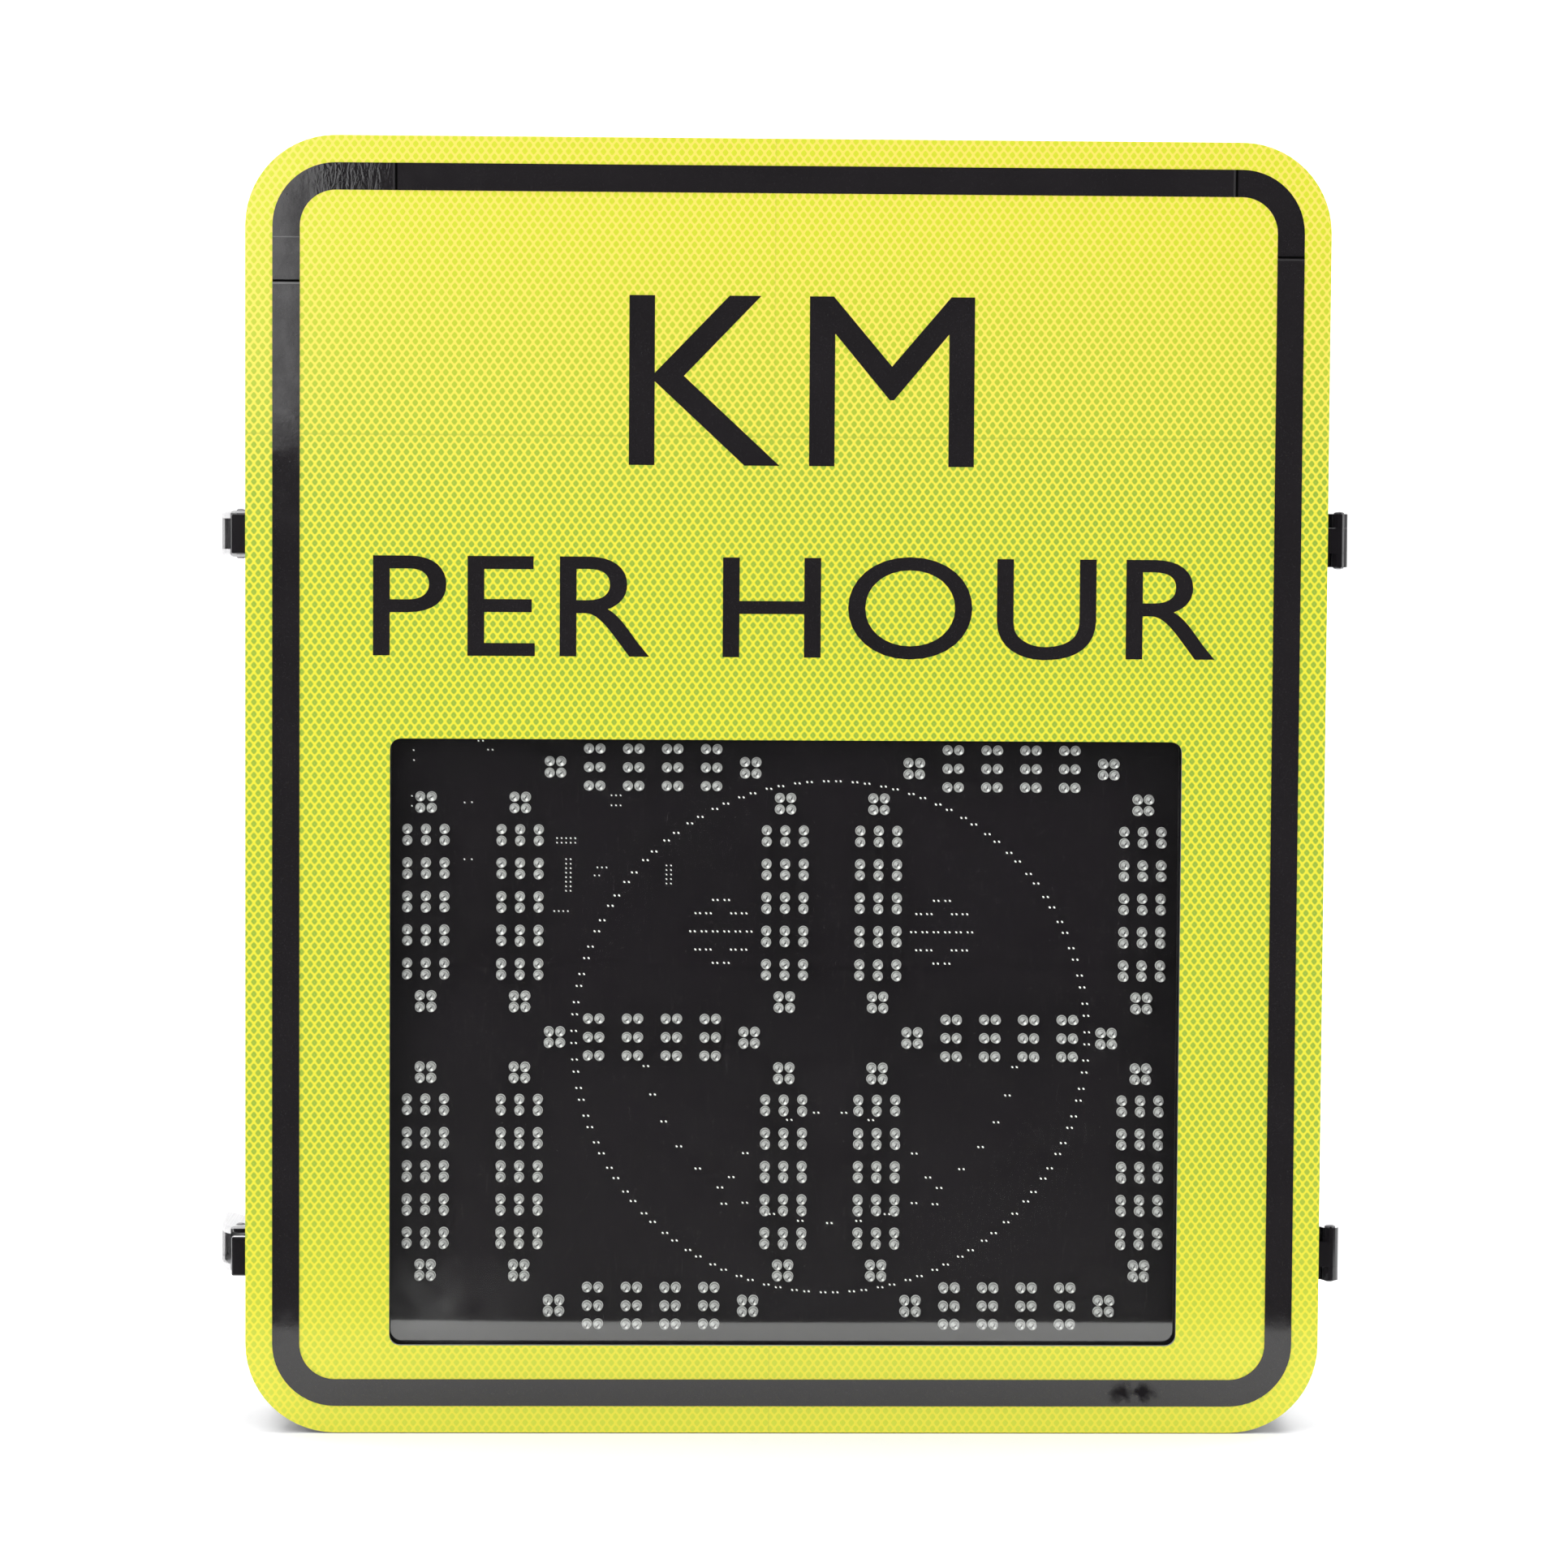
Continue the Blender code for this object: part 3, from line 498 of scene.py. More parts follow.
def new_piece(name, bm, look, body, smooth=40):
    """Link a bmesh drawn in metres in the frame as a piece that rides on a body."""
    bmesh.ops.recalc_face_normals(bm, faces=bm.faces[:])
    mesh = bpy.data.meshes.new(name)
    bm.to_mesh(mesh)
    bm.free()
    mesh.shade_smooth()
    mesh.set_sharp_from_angle(angle=math.radians(smooth))
    item = linked(name, mesh)
    dress(item, look)
    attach(item, body)
    return item


def sweep_circle(bm, centre, axis, rings, sides, turn=0.0):
    """A turned solid: rings are (radius, distance along axis); the ends close to a flat disc."""
    axis = Vector(axis).normalized()
    side = axis.orthogonal().normalized()
    other = axis.cross(side)
    levels = []
    for radius, along in rings:
        base = Vector(centre) + axis * along
        if radius <= 1e-7:
            levels.append([bm.verts.new(base)])
            continue
        angles = [turn + 2 * math.pi * step / sides for step in range(sides)]
        levels.append([bm.verts.new(base + side * radius * math.cos(a) + other * radius * math.sin(a))
                       for a in angles])
    for low, high in zip(levels, levels[1:]):
        for step in range(sides):
            following = (step + 1) % sides
            if len(high) == 1:
                bm.faces.new((low[step], low[following], high[0]))
            elif len(low) == 1:
                bm.faces.new((low[0], high[following], high[step]))
            else:
                bm.faces.new((low[step], low[following], high[following], high[step]))
    for level in (levels[0], levels[-1]):
        if len(level) > 1:
            bm.faces.new(level)


def skin_rings(bm, rings):
    """Join rings of equal length one to the next, and close both ends."""
    for low, high in zip(rings, rings[1:]):
        for step in range(len(low)):
            bm.faces.new((low[step - 1], low[step], high[step], high[step - 1]))
    bm.faces.new(rings[0])
    bm.faces.new(rings[-1])


def flat_outline(bm, points, near, far):
    """A closed slab from an outline in X and Z, between two Y values."""
    skin_rings(bm, [[bm.verts.new((x, y, z)) for x, z in points] for y in (near, far)])


# ---------------------------------------------------------------- LEDs and pads

LED_R = 2.55 * MM
LED_PROFILE = [(2.85, 0.0), (2.85, 1.0), (2.55, 1.1), (2.55, 6.05)]
LED_DOME = 5
LED_PAIR, LED_GROUP = 6.4 * MM, 10.4 * MM
COLUMN_BLOCKS = [step * 18.8 * MM for step in (-2, -1, 0, 1, 2)]
BAR_BLOCKS = [step * 10.9 * MM for step in (-3, -1, 1, 3)]
COLUMN_END, BAR_END = 55.8 * MM, 54.6 * MM


def led_places(bank):
    """Centres of a bank's LEDs in X and Z: blocks of six, and a square of four at each end."""
    low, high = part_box(bank)
    middle = (low + high) / 2
    upright = high.z - low.z > high.x - low.x
    blocks, end = (COLUMN_BLOCKS, COLUMN_END) if upright else (BAR_BLOCKS, BAR_END)
    pair = (-LED_PAIR / 2, LED_PAIR / 2)
    trio = (-LED_GROUP, 0.0, LED_GROUP)
    spots = [(across, centre + along) for centre in blocks for across in trio for along in pair]
    spots += [(across, centre + along) for centre in (-end, end) for across in pair for along in pair]
    if not upright:
        spots = [(along, across) for across, along in spots]
    return [(middle.x + a, middle.z + b) for a, b in spots]


def led_bank(bank, chance):
    bm = bmesh.new()
    shine = bm.loops.layers.uv.new("shine")
    inside = bm.loops.layers.uv.new("inside")
    base = BOARD_Y - 0.05 * MM
    rings = [(radius * MM, along * MM) for radius, along in LED_PROFILE]
    top = LED_PROFILE[-1][1] * MM
    quarter = [step / LED_DOME * math.pi / 2 for step in range(1, LED_DOME + 1)]
    rings += [(LED_R * math.cos(a), top + LED_R * math.sin(a)) for a in quarter]
    for x, z in led_places(bank):
        lean = Vector((chance.uniform(-0.03, 0.03), -1, chance.uniform(-0.03, 0.03)))
        count = len(bm.faces)
        sweep_circle(bm, (x, base, z), lean, rings, 16)
        bm.faces.ensure_lookup_table()
        turn = math.radians(52) + chance.uniform(-0.35, 0.35)
        wide = chance.uniform(0.92, 1.08)
        c, n = math.cos(turn), math.sin(turn)
        for face in bm.faces[count:]:
            for loop in face.loops:
                s = (loop.vert.co.x - x) / LED_R
                t = (loop.vert.co.z - z) / LED_R
                loop[shine].uv = (s * wide, t * wide)
                loop[inside].uv = (s * c + t * n, t * c - s * n)
    piece = new_piece(bank.replace("_leds", "_led_array"), bm, "led", "door", 50)
    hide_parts(bank)


def all_leds():
    chance = random.Random(5)
    for bank in sorted(LED_BANKS):
        led_bank(bank, chance)


BOARD_LOW, BOARD_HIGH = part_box("display_board")
DISPLAY_MID = Vector(((BOARD_LOW.x + BOARD_HIGH.x) / 2, 0, (BOARD_LOW.z + BOARD_HIGH.z) / 2 + 1.4 * MM))
RING_MID = (26.2 * MM, DISPLAY_MID.z)
PAD_LONG, PAD_WIDE = 0.78 * MM, 0.5 * MM
PAD_STEP = 2.54 * MM


def ring_spots(centre, radius, angles):
    return [(centre[0] + radius * math.cos(math.radians(a)), centre[1] + radius * math.sin(math.radians(a)))
            for a in angles]


def indicator_spots():
    """LED positions left empty: the round indicator outline with its two dots and two arcs."""
    groups = [6.43 * step + offset for step in range(56) for offset in (-1.36, 1.36)]
    spots = ring_spots(RING_MID, 144.3 * MM, groups)
    for side in (-1, 1):
        x, z = RING_MID[0] + side * 62 * MM, RING_MID[1] + 59.6 * MM
        rows = [(0, (-15.9, -9.5, -3.2, 3.2, 9.5, 15.9)), (10.2, (-13, -7, 7, 13)), (17.7, (-3.2, 3.2))]
        for height, columns in rows:
            for sign in ((1,) if height == 0 else (-1, 1)):
                spots += [(x + column * MM, z + sign * height * MM) for column in columns]
    spots += ring_spots(RING_MID, 105 * MM, [-9 * step for step in range(1, 20)])
    frown = (RING_MID[0], RING_MID[1] - 102 * MM)
    spots += ring_spots(frown, 60 * MM, [7.5 + 15 * step for step in range(12)])
    return spots


HEADER_GRIDS = [  # x, height above the display's middle, columns, rows
    (-122.7, 110.4, 5, 2), (-121.4, 91.0, 2, 8), (-125.4, 70.7, 4, 1), (-102.6, 95.3, 3, 1),
    (-105.4, 90.8, 2, 1), (-65.2, 91.5, 2, 5), (-94.9, 135.8, 3, 1), (-94.9, 130.2, 3, 1),
    (-208.0, 160.6, 1, 1), (-207.8, 155.0, 1, 1),
    (-170.6, 166.0, 2, 1), (-165.2, 161.0, 2, 1), (-179.5, 131.4, 1, 1), (-175.4, 131.6, 1, 1),
    (-179.5, 99.6, 1, 1), (-175.4, 99.6, 1, 1), (-208.9, 135.0, 1, 1), (-208.9, 129.4, 1, 1)]


def header_spots():
    """Pad grids of the connectors and test points at the board's top left."""
    spots = []
    for x, z, columns, rows in HEADER_GRIDS:
        for column in range(columns):
            for row in range(rows):
                spots.append((x * MM + (column - (columns - 1) / 2) * PAD_STEP,
                              DISPLAY_MID.z + z * MM + (row - (rows - 1) / 2) * PAD_STEP))
    return spots


def solder_dot(bm, x, z, size=1.0):
    """A low oval dome of solder, longer along the falling diagonal."""
    slant = math.sqrt(0.5)
    rings = []
    for share, lift in ((1.0, 0.0), (0.86, 0.08 * MM), (0.4, 0.16 * MM)):
        y = BOARD_Y + 0.02 * MM - lift
        ring = []
        for step in range(10):
            angle = 2 * math.pi * step / 10
            a, b = PAD_LONG * size * share * math.cos(angle), PAD_WIDE * size * share * math.sin(angle)
            ring.append(bm.verts.new((x + (a + b) * slant, y, z + (b - a) * slant)))
        rings.append(ring)
    skin_rings(bm, rings)


def board_pads():
    taken = [place for bank in LED_BANKS for place in led_places(bank)]
    pairs = []
    for x, z in indicator_spots():
        if min((x - a) ** 2 + (z - b) ** 2 for a, b in taken) > (4.2 * MM) ** 2:
            pairs += [(x - PAD_STEP / 2, z), (x + PAD_STEP / 2, z)]
    bm = bmesh.new()
    for x, z in pairs:
        solder_dot(bm, x, z)
    for x, z in header_spots():
        solder_dot(bm, x, z, 0.78)
    new_piece("board_pads", bm, "pad", "door")


# ---------------------------------------------------------------- films on the face

FILM_T = 0.12 * MM
FILM_Y = FACE_Y - 0.03 * MM
BORDER_MARGIN, BORDER_WIDE = 15 * MM, 15 * MM
FACE_R = 50 * MM


def film(name, points, layer=0):
    """One cut strip of film. A strip on layer 1 laps over the end of its neighbour."""
    bm = bmesh.new()
    near = FILM_Y - layer * (FILM_T + 0.02 * MM)
    flat_outline(bm, points, near - FILM_T, near)
    new_piece(name, bm, "film", "door")


def corner_arc(sx, sz, inset, steps=14):
    """Arc points of a face corner, inset from the edge, from the side round to the top or bottom."""
    radius = FACE_R - inset
    middle_x = FACE_HIGH.x - FACE_R
    middle_z = (FACE_HIGH.z if sz > 0 else FACE_LOW.z) - sz * FACE_R
    return [(sx * (middle_x + radius * math.cos(step / steps * math.pi / 2)),
             middle_z + sz * radius * math.sin(step / steps * math.pi / 2)) for step in range(steps + 1)]


def border():
    """The black stripe, laid as strips whose ends lap or butt in the straights."""
    outer, inner = BORDER_MARGIN, BORDER_MARGIN + BORDER_WIDE
    side_out, side_in = FACE_HIGH.x - outer, FACE_HIGH.x - inner
    top_out, top_in = FACE_HIGH.z - outer, FACE_HIGH.z - inner
    lap = 1.2 * MM

    upper_left = corner_arc(-1, 1, outer) + [(TOP_LEFT_X, top_out), (TOP_LEFT_X, top_in)]
    upper_left += corner_arc(-1, 1, inner)[::-1] + [(-side_in, PATCH_Z), (-side_out, PATCH_Z)]
    patch = [(-side_out, LEFT_Z), (-side_out, PATCH_Z + lap),
             (-side_in, PATCH_Z + lap), (-side_in, LEFT_Z)]
    top = [(TOP_LEFT_X - lap, top_in), (TOP_LEFT_X - lap, top_out), (TOP_RIGHT_X + lap, top_out),
           (TOP_RIGHT_X + lap, top_in)]
    upper_right = [(TOP_RIGHT_X, top_in), (TOP_RIGHT_X, top_out)]
    upper_right += corner_arc(1, 1, outer)[::-1] + [(side_out, RIGHT_Z), (side_in, RIGHT_Z)]
    upper_right += corner_arc(1, 1, inner)
    around = [(-side_out, LEFT_Z + lap)] + corner_arc(-1, -1, outer)
    around += corner_arc(1, -1, outer)[::-1] + [(side_out, RIGHT_Z + lap), (side_in, RIGHT_Z + lap)]
    around += corner_arc(1, -1, inner) + corner_arc(-1, -1, inner)[::-1] + [(-side_in, LEFT_Z + lap)]
    film("border_upper_left", upper_left)
    film("border_patch", patch, 1)
    film("border_top", top, 1)
    film("border_upper_right", upper_right)
    film("border_around", around, 2)


FONT_CAP = 0.729     # height of a flat-topped capital in the font's own unit; round ones overshoot it


def legend(name, words, low_z, cap, width, middle_x):
    """A generic line of sign lettering in cut film, centred on the face."""
    text = bpy.data.curves.new(name, "FONT")
    text.body = words
    text.space_character = 1.08
    text.resolution_u = 8
    text.extrude = 0.5
    text.fill_mode = "BOTH"
    source = linked(name + "_source", text)
    bpy.context.view_layer.update()
    mesh = bpy.data.meshes.new_from_object(source.evaluated_get(bpy.context.evaluated_depsgraph_get()))
    bpy.data.objects.remove(source)
    bm = bmesh.new()
    bm.from_mesh(mesh)
    bpy.data.meshes.remove(mesh)
    bmesh.ops.remove_doubles(bm, verts=bm.verts[:], dist=1e-5)
    xs = [vert.co.x for vert in bm.verts]
    middle = (min(xs) + max(xs)) / 2
    stretch = width / (max(xs) - min(xs))
    for vert in bm.verts:
        x, y, z = vert.co
        vert.co = (middle_x + (x - middle) * stretch, FILM_Y - (z + 0.5) * FILM_T, low_z + y * cap / FONT_CAP)
    new_piece(name, bm, "film", "door")


# ---------------------------------------------------------------- fixings and device details

def tube_through(bm, stops, radius, sides=8, per_span=7):
    """A round wire on a smooth path through its stops, closed at both ends."""
    stops = [Vector(stop) * MM for stop in stops]
    ends = [stops[0] * 2 - stops[1], *stops, stops[-1] * 2 - stops[-2]]
    path = []
    for a, b, c, d in zip(ends, ends[1:], ends[2:], ends[3:]):
        for step in range(per_span):
            t = step / per_span
            path.append(0.5 * (2 * b + (c - a) * t + (2 * a - 5 * b + 4 * c - d) * t * t
                               + (3 * b - a - 3 * c + d) * t ** 3))
    path.append(stops[-1])
    side = (path[1] - path[0]).orthogonal().normalized()
    rings = []
    for step, here in enumerate(path):
        ahead = (path[min(step + 1, len(path) - 1)] - path[max(step - 1, 0)]).normalized()
        side = (side - ahead * side.dot(ahead)).normalized()
        other = ahead.cross(side)
        rings.append([bm.verts.new(here + (side * math.cos(a) + other * math.sin(a)) * radius)
                      for a in (2 * math.pi * turn / sides for turn in range(sides))])
    skin_rings(bm, rings)


def pan_head(bm, spot, axis, radius, sides=20):
    """A domed screw head with a socket in its top, standing on a surface."""
    r = radius
    rings = [(r * 0.97, -0.05 * MM), (r, r * 0.12), (r * 0.93, r * 0.38), (r * 0.74, r * 0.6),
             (r * 0.46, r * 0.68), (r * 0.42, r * 0.66), (r * 0.40, r * 0.25), (0, r * 0.2)]
    sweep_circle(bm, spot, axis, rings, sides)


def hex_head(bm, spot, axis, radius):
    """A hexagon bolt head with its chamfered top, on a washer."""
    r = radius
    sweep_circle(bm, spot, axis, [(r * 1.45, -0.05 * MM), (r * 1.45, r * 0.2), (r * 1.38, r * 0.26)], 24)
    base = r * 0.24
    sweep_circle(bm, spot, axis, [(r, base), (r, base + r * 0.55), (r * 0.86, base + r * 0.68)], 6, 0.3)


def slab(bm, low, high, soft):
    """A block with its edges broken."""
    low, high = Vector(low), Vector(high)
    verts = {}
    for i in (0, 1):
        for j in (0, 1):
            for k in (0, 1):
                verts[i, j, k] = bm.verts.new(((low, high)[i].x, (low, high)[j].y, (low, high)[k].z))
    faces = []
    for axis in range(3):
        for end in (0, 1):
            loop = []
            for a, b in ((0, 0), (1, 0), (1, 1), (0, 1)):
                key = [a, b]
                key.insert(axis, end)
                loop.append(verts[tuple(key)])
            faces.append(bm.faces.new(loop))
    edges = dict.fromkeys(edge for face in faces for edge in face.edges)    # once each, in a fixed order
    bmesh.ops.bevel(bm, geom=list(edges), offset=soft, segments=2, affect="EDGES", profile=0.5)


def node_face(name):
    low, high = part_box(name)
    return low, high, (low + high) / 2


FLANK_X = 292.3 * MM        # hinge leaves and latch parts start here, just off the box's side
LATCH_PIVOT = Vector((306.5 * MM, -176 * MM, 0))
WASHER_HOLE, WASHER_R, WASHER_ARM = 2.12 * MM, 4.9 * MM, 13.2 * MM
WASHER_Z, WASHER_T = 7.05 * MM, 0.26 * MM


def hinge_washers(level):
    """Thin plates in the gaps between the knuckles, round outside and square towards the leaf."""
    _, _, pin = node_face(f"{level}_hinge_pin")
    bm = bmesh.new()
    for end in (-1, 1):
        rims = []
        for up in (-0.5, 0.5):
            z = pin.z + end * WASHER_Z + up * WASHER_T
            outer, inner = [], []
            for step in range(32):
                turn = 2 * math.pi * (step + 0.5) / 32
                c, s = math.cos(turn), math.sin(turn)
                reach = WASHER_R if c > 0 else min(WASHER_R / max(abs(s), 1e-6), WASHER_ARM / abs(c))
                outer.append(bm.verts.new((pin.x + c * reach, pin.y + s * reach, z)))
                inner.append(bm.verts.new((pin.x + c * WASHER_HOLE, pin.y + s * WASHER_HOLE, z)))
            rims += [outer, inner]
        low_out, low_in, high_out, high_in = rims
        for step in range(32):
            for a, b in ((low_out, low_in), (low_in, high_in), (high_in, high_out), (high_out, low_out)):
                bm.faces.new((a[step - 1], a[step], b[step], b[step - 1]))
    new_piece(f"{level}_hinge_washers", bm, "gloss_black", "box")


def at(corner, x, y, z):
    """A place in millimetres from a corner."""
    return Vector(corner) + Vector((x, y, z)) * MM


def heads(name, spots, axis, radius, body, head=pan_head, look="steel_y"):
    """Screw or bolt heads that make one piece."""
    bm = bmesh.new()
    for spot in spots:
        head(bm, spot, axis, radius * MM)
    new_piece(name, bm, look, body)


def slabs(name, spans, soft, look, body):
    """Blocks with broken edges that make one piece."""
    bm = bmesh.new()
    for low, high in spans:
        slab(bm, low, high, soft * MM)
    new_piece(name, bm, look, body)


def turned(bm, spot, axis, rings, sides):
    """A turned solid with its radii and heights in millimetres."""
    sweep_circle(bm, spot, axis, [(radius * MM, along * MM) for radius, along in rings], sides)


def hinge_and_latch_screws():
    for level in LEVELS:
        for leaf in ("box", "door"):
            low, high, mid = node_face(f"{level}_hinge_{leaf}_leaf")
            y = (low.y + 10 * MM) if leaf == "door" else (high.y - 11 * MM)
            spots = [at((FLANK_X, y, mid.z), 4.0, 0, z) for z in (-8.5, 8.5)]
            heads(f"{level}_hinge_{leaf}_screws", spots, (1, 0, 0), 2.6, leaf)
        low, high, mid = node_face(f"{level}_hinge_pin")
        for end in (-1, 1):
            bm = bmesh.new()
            z = mid.z + end * (high.z - low.z) / 2
            turned(bm, at((mid.x, mid.y, z), 0, 0, -end * 0.1), (0, 0, end),
                   [(3.0, 0.12), (3.0, 0.7), (1.8, 1.3), (0, 1.45)], 20)
            new_piece(f"{level}_hinge_pin_{'foot' if end < 0 else 'head'}", bm, "steel_z", "box")
        hinge_washers(level)
        low, high, mid = node_face(f"{level}_latch_lever")
        bm = bmesh.new()
        for end in (-1, 1):
            z = mid.z + end * (high.z - mid.z - 0.05 * MM)
            turned(bm, (-LATCH_PIVOT.x, LATCH_PIVOT.y, z), (0, 0, end),
                   [(2.4, 0), (2.4, 0.5), (1.5, 1.0), (0, 1.1)], 18)
        new_piece(f"{level}_lever_rivets", bm, "steel_y", f"{level}_lever")
        low, high, mid = node_face(f"{level}_latch_keeper")
        spots = [at((-FLANK_X, low.y, mid.z), -3.0, 4.3, z) for z in (-7.4, 7.4)]
        heads(f"{level}_keeper_screws", spots, (-1, 0, 0), 1.9, "door")


def rear_fixings():
    rear = node_face("pole_bracket")[1].y
    for level in LEVELS:
        low, _, mid = node_face(f"{level}_rail")
        bm = bmesh.new()
        for x in (-46, 46):
            for z in (-15.3, 15.3):
                turned(bm, at((0, rear, mid.z), x, -0.6, z), (0, 1, 0),
                       [(4.6, 0), (4.6, 0.72), (4.2, 0.78), (2.0, 0.76), (1.9, 0.2), (0, 0.15)], 24)
        new_piece(f"{level}_bracket_bolts", bm, "steel_y", "box")
        spots = [at((0, low.y, mid.z), x, 2.5, 0) for x in (-205, -90, 90, 205)]
        heads(f"{level}_rail_bolts", spots, (0, 1, 0), 5.6, "box", hex_head)


def circle_of(count, radius):
    """Places round a circle, in the circle's own unit."""
    return [(radius * math.cos(2 * math.pi * step / count), radius * math.sin(2 * math.pi * step / count))
            for step in range(count)]


def fittings():
    low, _, mid = node_face("cable_gland")
    bm = bmesh.new()
    for x, y in circle_of(18, 11.0):
        turned(bm, at((mid.x, mid.y, low.z), x, y, 1.5), (0, 0, 1),
               [(0.5, 0), (0.8, 0.6), (0.8, 6.4), (0.5, 7)], 8)
    new_piece("gland_cap_ribs", bm, "satin_black", "box")
    low, _, mid = node_face("vent_plug")
    bm = bmesh.new()
    for x, y in circle_of(6, 5.2):
        turned(bm, at((mid.x, mid.y, low.z), x, y, 0.05), (0, 0, -1), [(1.3, 0), (1.3, 0.3), (0.9, 0.6)], 12)
    new_piece("vent_plug_studs", bm, "satin_black", "box")


def door_devices():
    low, high, mid = node_face("controller_unit")
    back = Vector((low.x, high.y, low.z))
    spots = [at((x, high.y, high.z), inward, 0, z) for x, inward in ((low.x, 7), (high.x, -7))
             for z in (-92, -7)]
    heads("controller_lid_screws", spots, (0, 1, 0), 2.6, "door")
    slabs("controller_label", [(at(back, 22, -0.1, 52), at(high, -22, 0.5, -16))], 0.15,
          "white_device", "door")
    bm = bmesh.new()
    for step in range(12):
        turned(bm, at(back, 19 + step * 10.2, -4.05, 4), (0, 1, 0),
               [(2.0, 0), (2.0, 0.5), (1.7, 0.8), (0.5, 0.8), (0, 0.4)], 14)
    new_piece("controller_terminal_screws", bm, "steel_y", "door")
    low, high, mid = node_face("radar_module")
    foot = (mid.x, high.y, low.z)
    slabs("radar_socket", [(at(foot, -14, -0.1, 6), at(foot, 14, 4, 20))], 0.7, "satin_black", "door")
    low, high, mid = node_face("radar_bracket")
    spots = [at((x, low.y, mid.z), inward, 1.5, 0) for x, inward in ((low.x, 9), (high.x, -9))]
    heads("radar_bracket_nuts", spots, (0, 1, 0), 4.0, "door", hex_head)


def board_back():
    back = (BOARD_LOW.x, BOARD_HIGH.y, BOARD_LOW.z)
    spots = []
    for level in LEVELS:
        for side in ("left", "right"):
            mid = node_face(f"{level}_{side}_standoff")[2]
            spots.append((mid.x, BOARD_HIGH.y, mid.z))
    heads("board_screws", spots, (0, 1, 0), 3.0, "door", look="brass")
    chips = [at(back, 60 + column * 68, 0, 52 + row * 82) for row in range(4) for column in range(6)]
    slabs("board_drivers", [(at(chip, -5, 0.25, -2), at(chip, 5, 2.0, 2)) for chip in chips], 0.25,
          "satin_black", "door")
    legs = [at(chip, -4.45 + pin * 1.27, 0, 0) for chip in chips for pin in range(8)]
    slabs("board_driver_legs", [(at(leg, -0.2, -0.05, -3.2), at(leg, 0.2, 0.9, 3.2)) for leg in legs], 0.06,
          "pad", "door")
    sockets = [at((0, BOARD_HIGH.y, BOARD_HIGH.z), x, 0, -26) for x in (-150, -118, 150)]
    slabs("board_sockets", [(at(spot, -12, -0.05, -4), at(spot, 12, 5.0, 4)) for spot in sockets], 0.5,
          "white_device", "door")


def box_devices():
    low, high, mid = node_face("charge_controller")
    front_top = (high.x, low.y, high.z)
    slabs("charger_front_label", [(at(low, 12, -0.5, 32), at(front_top, -12, 0.1, -8))], 0.15,
          "white_device", "box")
    bm = bmesh.new()
    for step in range(3):
        turned(bm, at((high.x, low.y, low.z), -24 - step * 12, -0.4, 46), (0, -1, 0),
               [(3.4, 0), (3.4, 0.9), (2.6, 1.4)], 20)
    slab(bm, at(low, 20, -1.0, 46), at((mid.x, low.y, high.z), 10, -0.4, -14), 0.2 * MM)
    new_piece("charger_screen_and_keys", bm, "gloss_black", "box")
    spots = [at(low, 20 + step * 20, 8, 5) for step in range(6)]
    heads("charger_terminal_screws", spots, (0, -1, 0), 3.0, "box")
    low, high, mid = node_face("terminal_block")
    bm = bmesh.new()
    for step in range(7):
        for z in (-8, 14):
            pan_head(bm, at((low.x, low.y, mid.z), 7 + step * 9, 0, z), (0, -1, 0), 2.3 * MM)
    low, high, mid = node_face("circuit_breaker")
    for z in (low.z + 9 * MM, high.z - 9 * MM):
        pan_head(bm, (mid.x, low.y + 18 * MM, z), (0, -1, 0), 3.2 * MM)
    new_piece("terminal_and_breaker_screws", bm, "steel_y", "box")
    low, high, mid = node_face("mounting_plate")
    spots = [at((x, low.y, z), inward, 0, lift) for x, inward in ((low.x, 12), (high.x, -12))
             for z, lift in ((low.z, 12), (mid.z, 0), (high.z, -12))]
    heads("plate_nuts", spots, (0, -1, 0), 5.0, "box", hex_head)
    low, high, mid = node_face("battery_strap")
    spots = [at((x, high.y, mid.z), inward, -2, 0) for x, inward in ((low.x, 8), (high.x, -8))]
    heads("strap_nuts", spots, (0, -1, 0), 4.5, "box", hex_head)
    low, high, mid = node_face("battery")
    for name, x, look in (("battery_plus_post", 62, "red_wire"), ("battery_minus_post", -62, "black_wire")):
        bm = bmesh.new()
        top = (0, mid.y, high.z)
        slab(bm, at(top, x - 8, -8, -0.1), at(top, x + 8, 8, 7), 1.2 * MM)
        slab(bm, at(top, x - 5, -5, 6), at(top, x + 5, 5, 13), 1.5 * MM)
        new_piece(name, bm, look, "box")


WIRES = {  # look, stops in millimetres
    "battery_plus_wire": ("red_wire", [
        (62, -69, -107), (62, -60, -86), (20, -48, -70), (-74, -44, -48), (-100, -48, -10), (-100, -50, 20)]),
    "battery_minus_wire": ("black_wire", [
        (-62, -69, -107), (-66, -58, -84), (-104, -46, -66), (-120, -46, -20), (-120, -50, 20)]),
    "load_plus_wire": ("red_wire", [
        (-80, -50, 20), (-80, -46, -6), (-52, -42, -22), (20, -42, -24), (58, -46, -6), (69, -60, 14),
        (69, -62, 28.5)]),
    "load_minus_wire": ("black_wire", [
        (-140, -50, 20), (-140, -44, -14), (-112, -38, -32), (20, -38, -34), (88, -44, -18), (97, -62, 14),
        (97, -68, 46)]),
    "breaker_out_wire": ("red_wire", [
        (69, -62, 111.5), (69, -60, 124), (84, -50, 132), (172, -46, 124), (186, -50, 70), (150, -60, 20),
        (115, -68, 22), (115, -68, 46)]),
}


def wires():
    for name, (look, stops) in WIRES.items():
        bm = bmesh.new()
        tube_through(bm, stops, 1.9 * MM)
        new_piece(name, bm, look, "box")


# ---------------------------------------------------------------- stage, light and camera

FLOOR_Z = FACE_LOW.z - 0.5 * MM


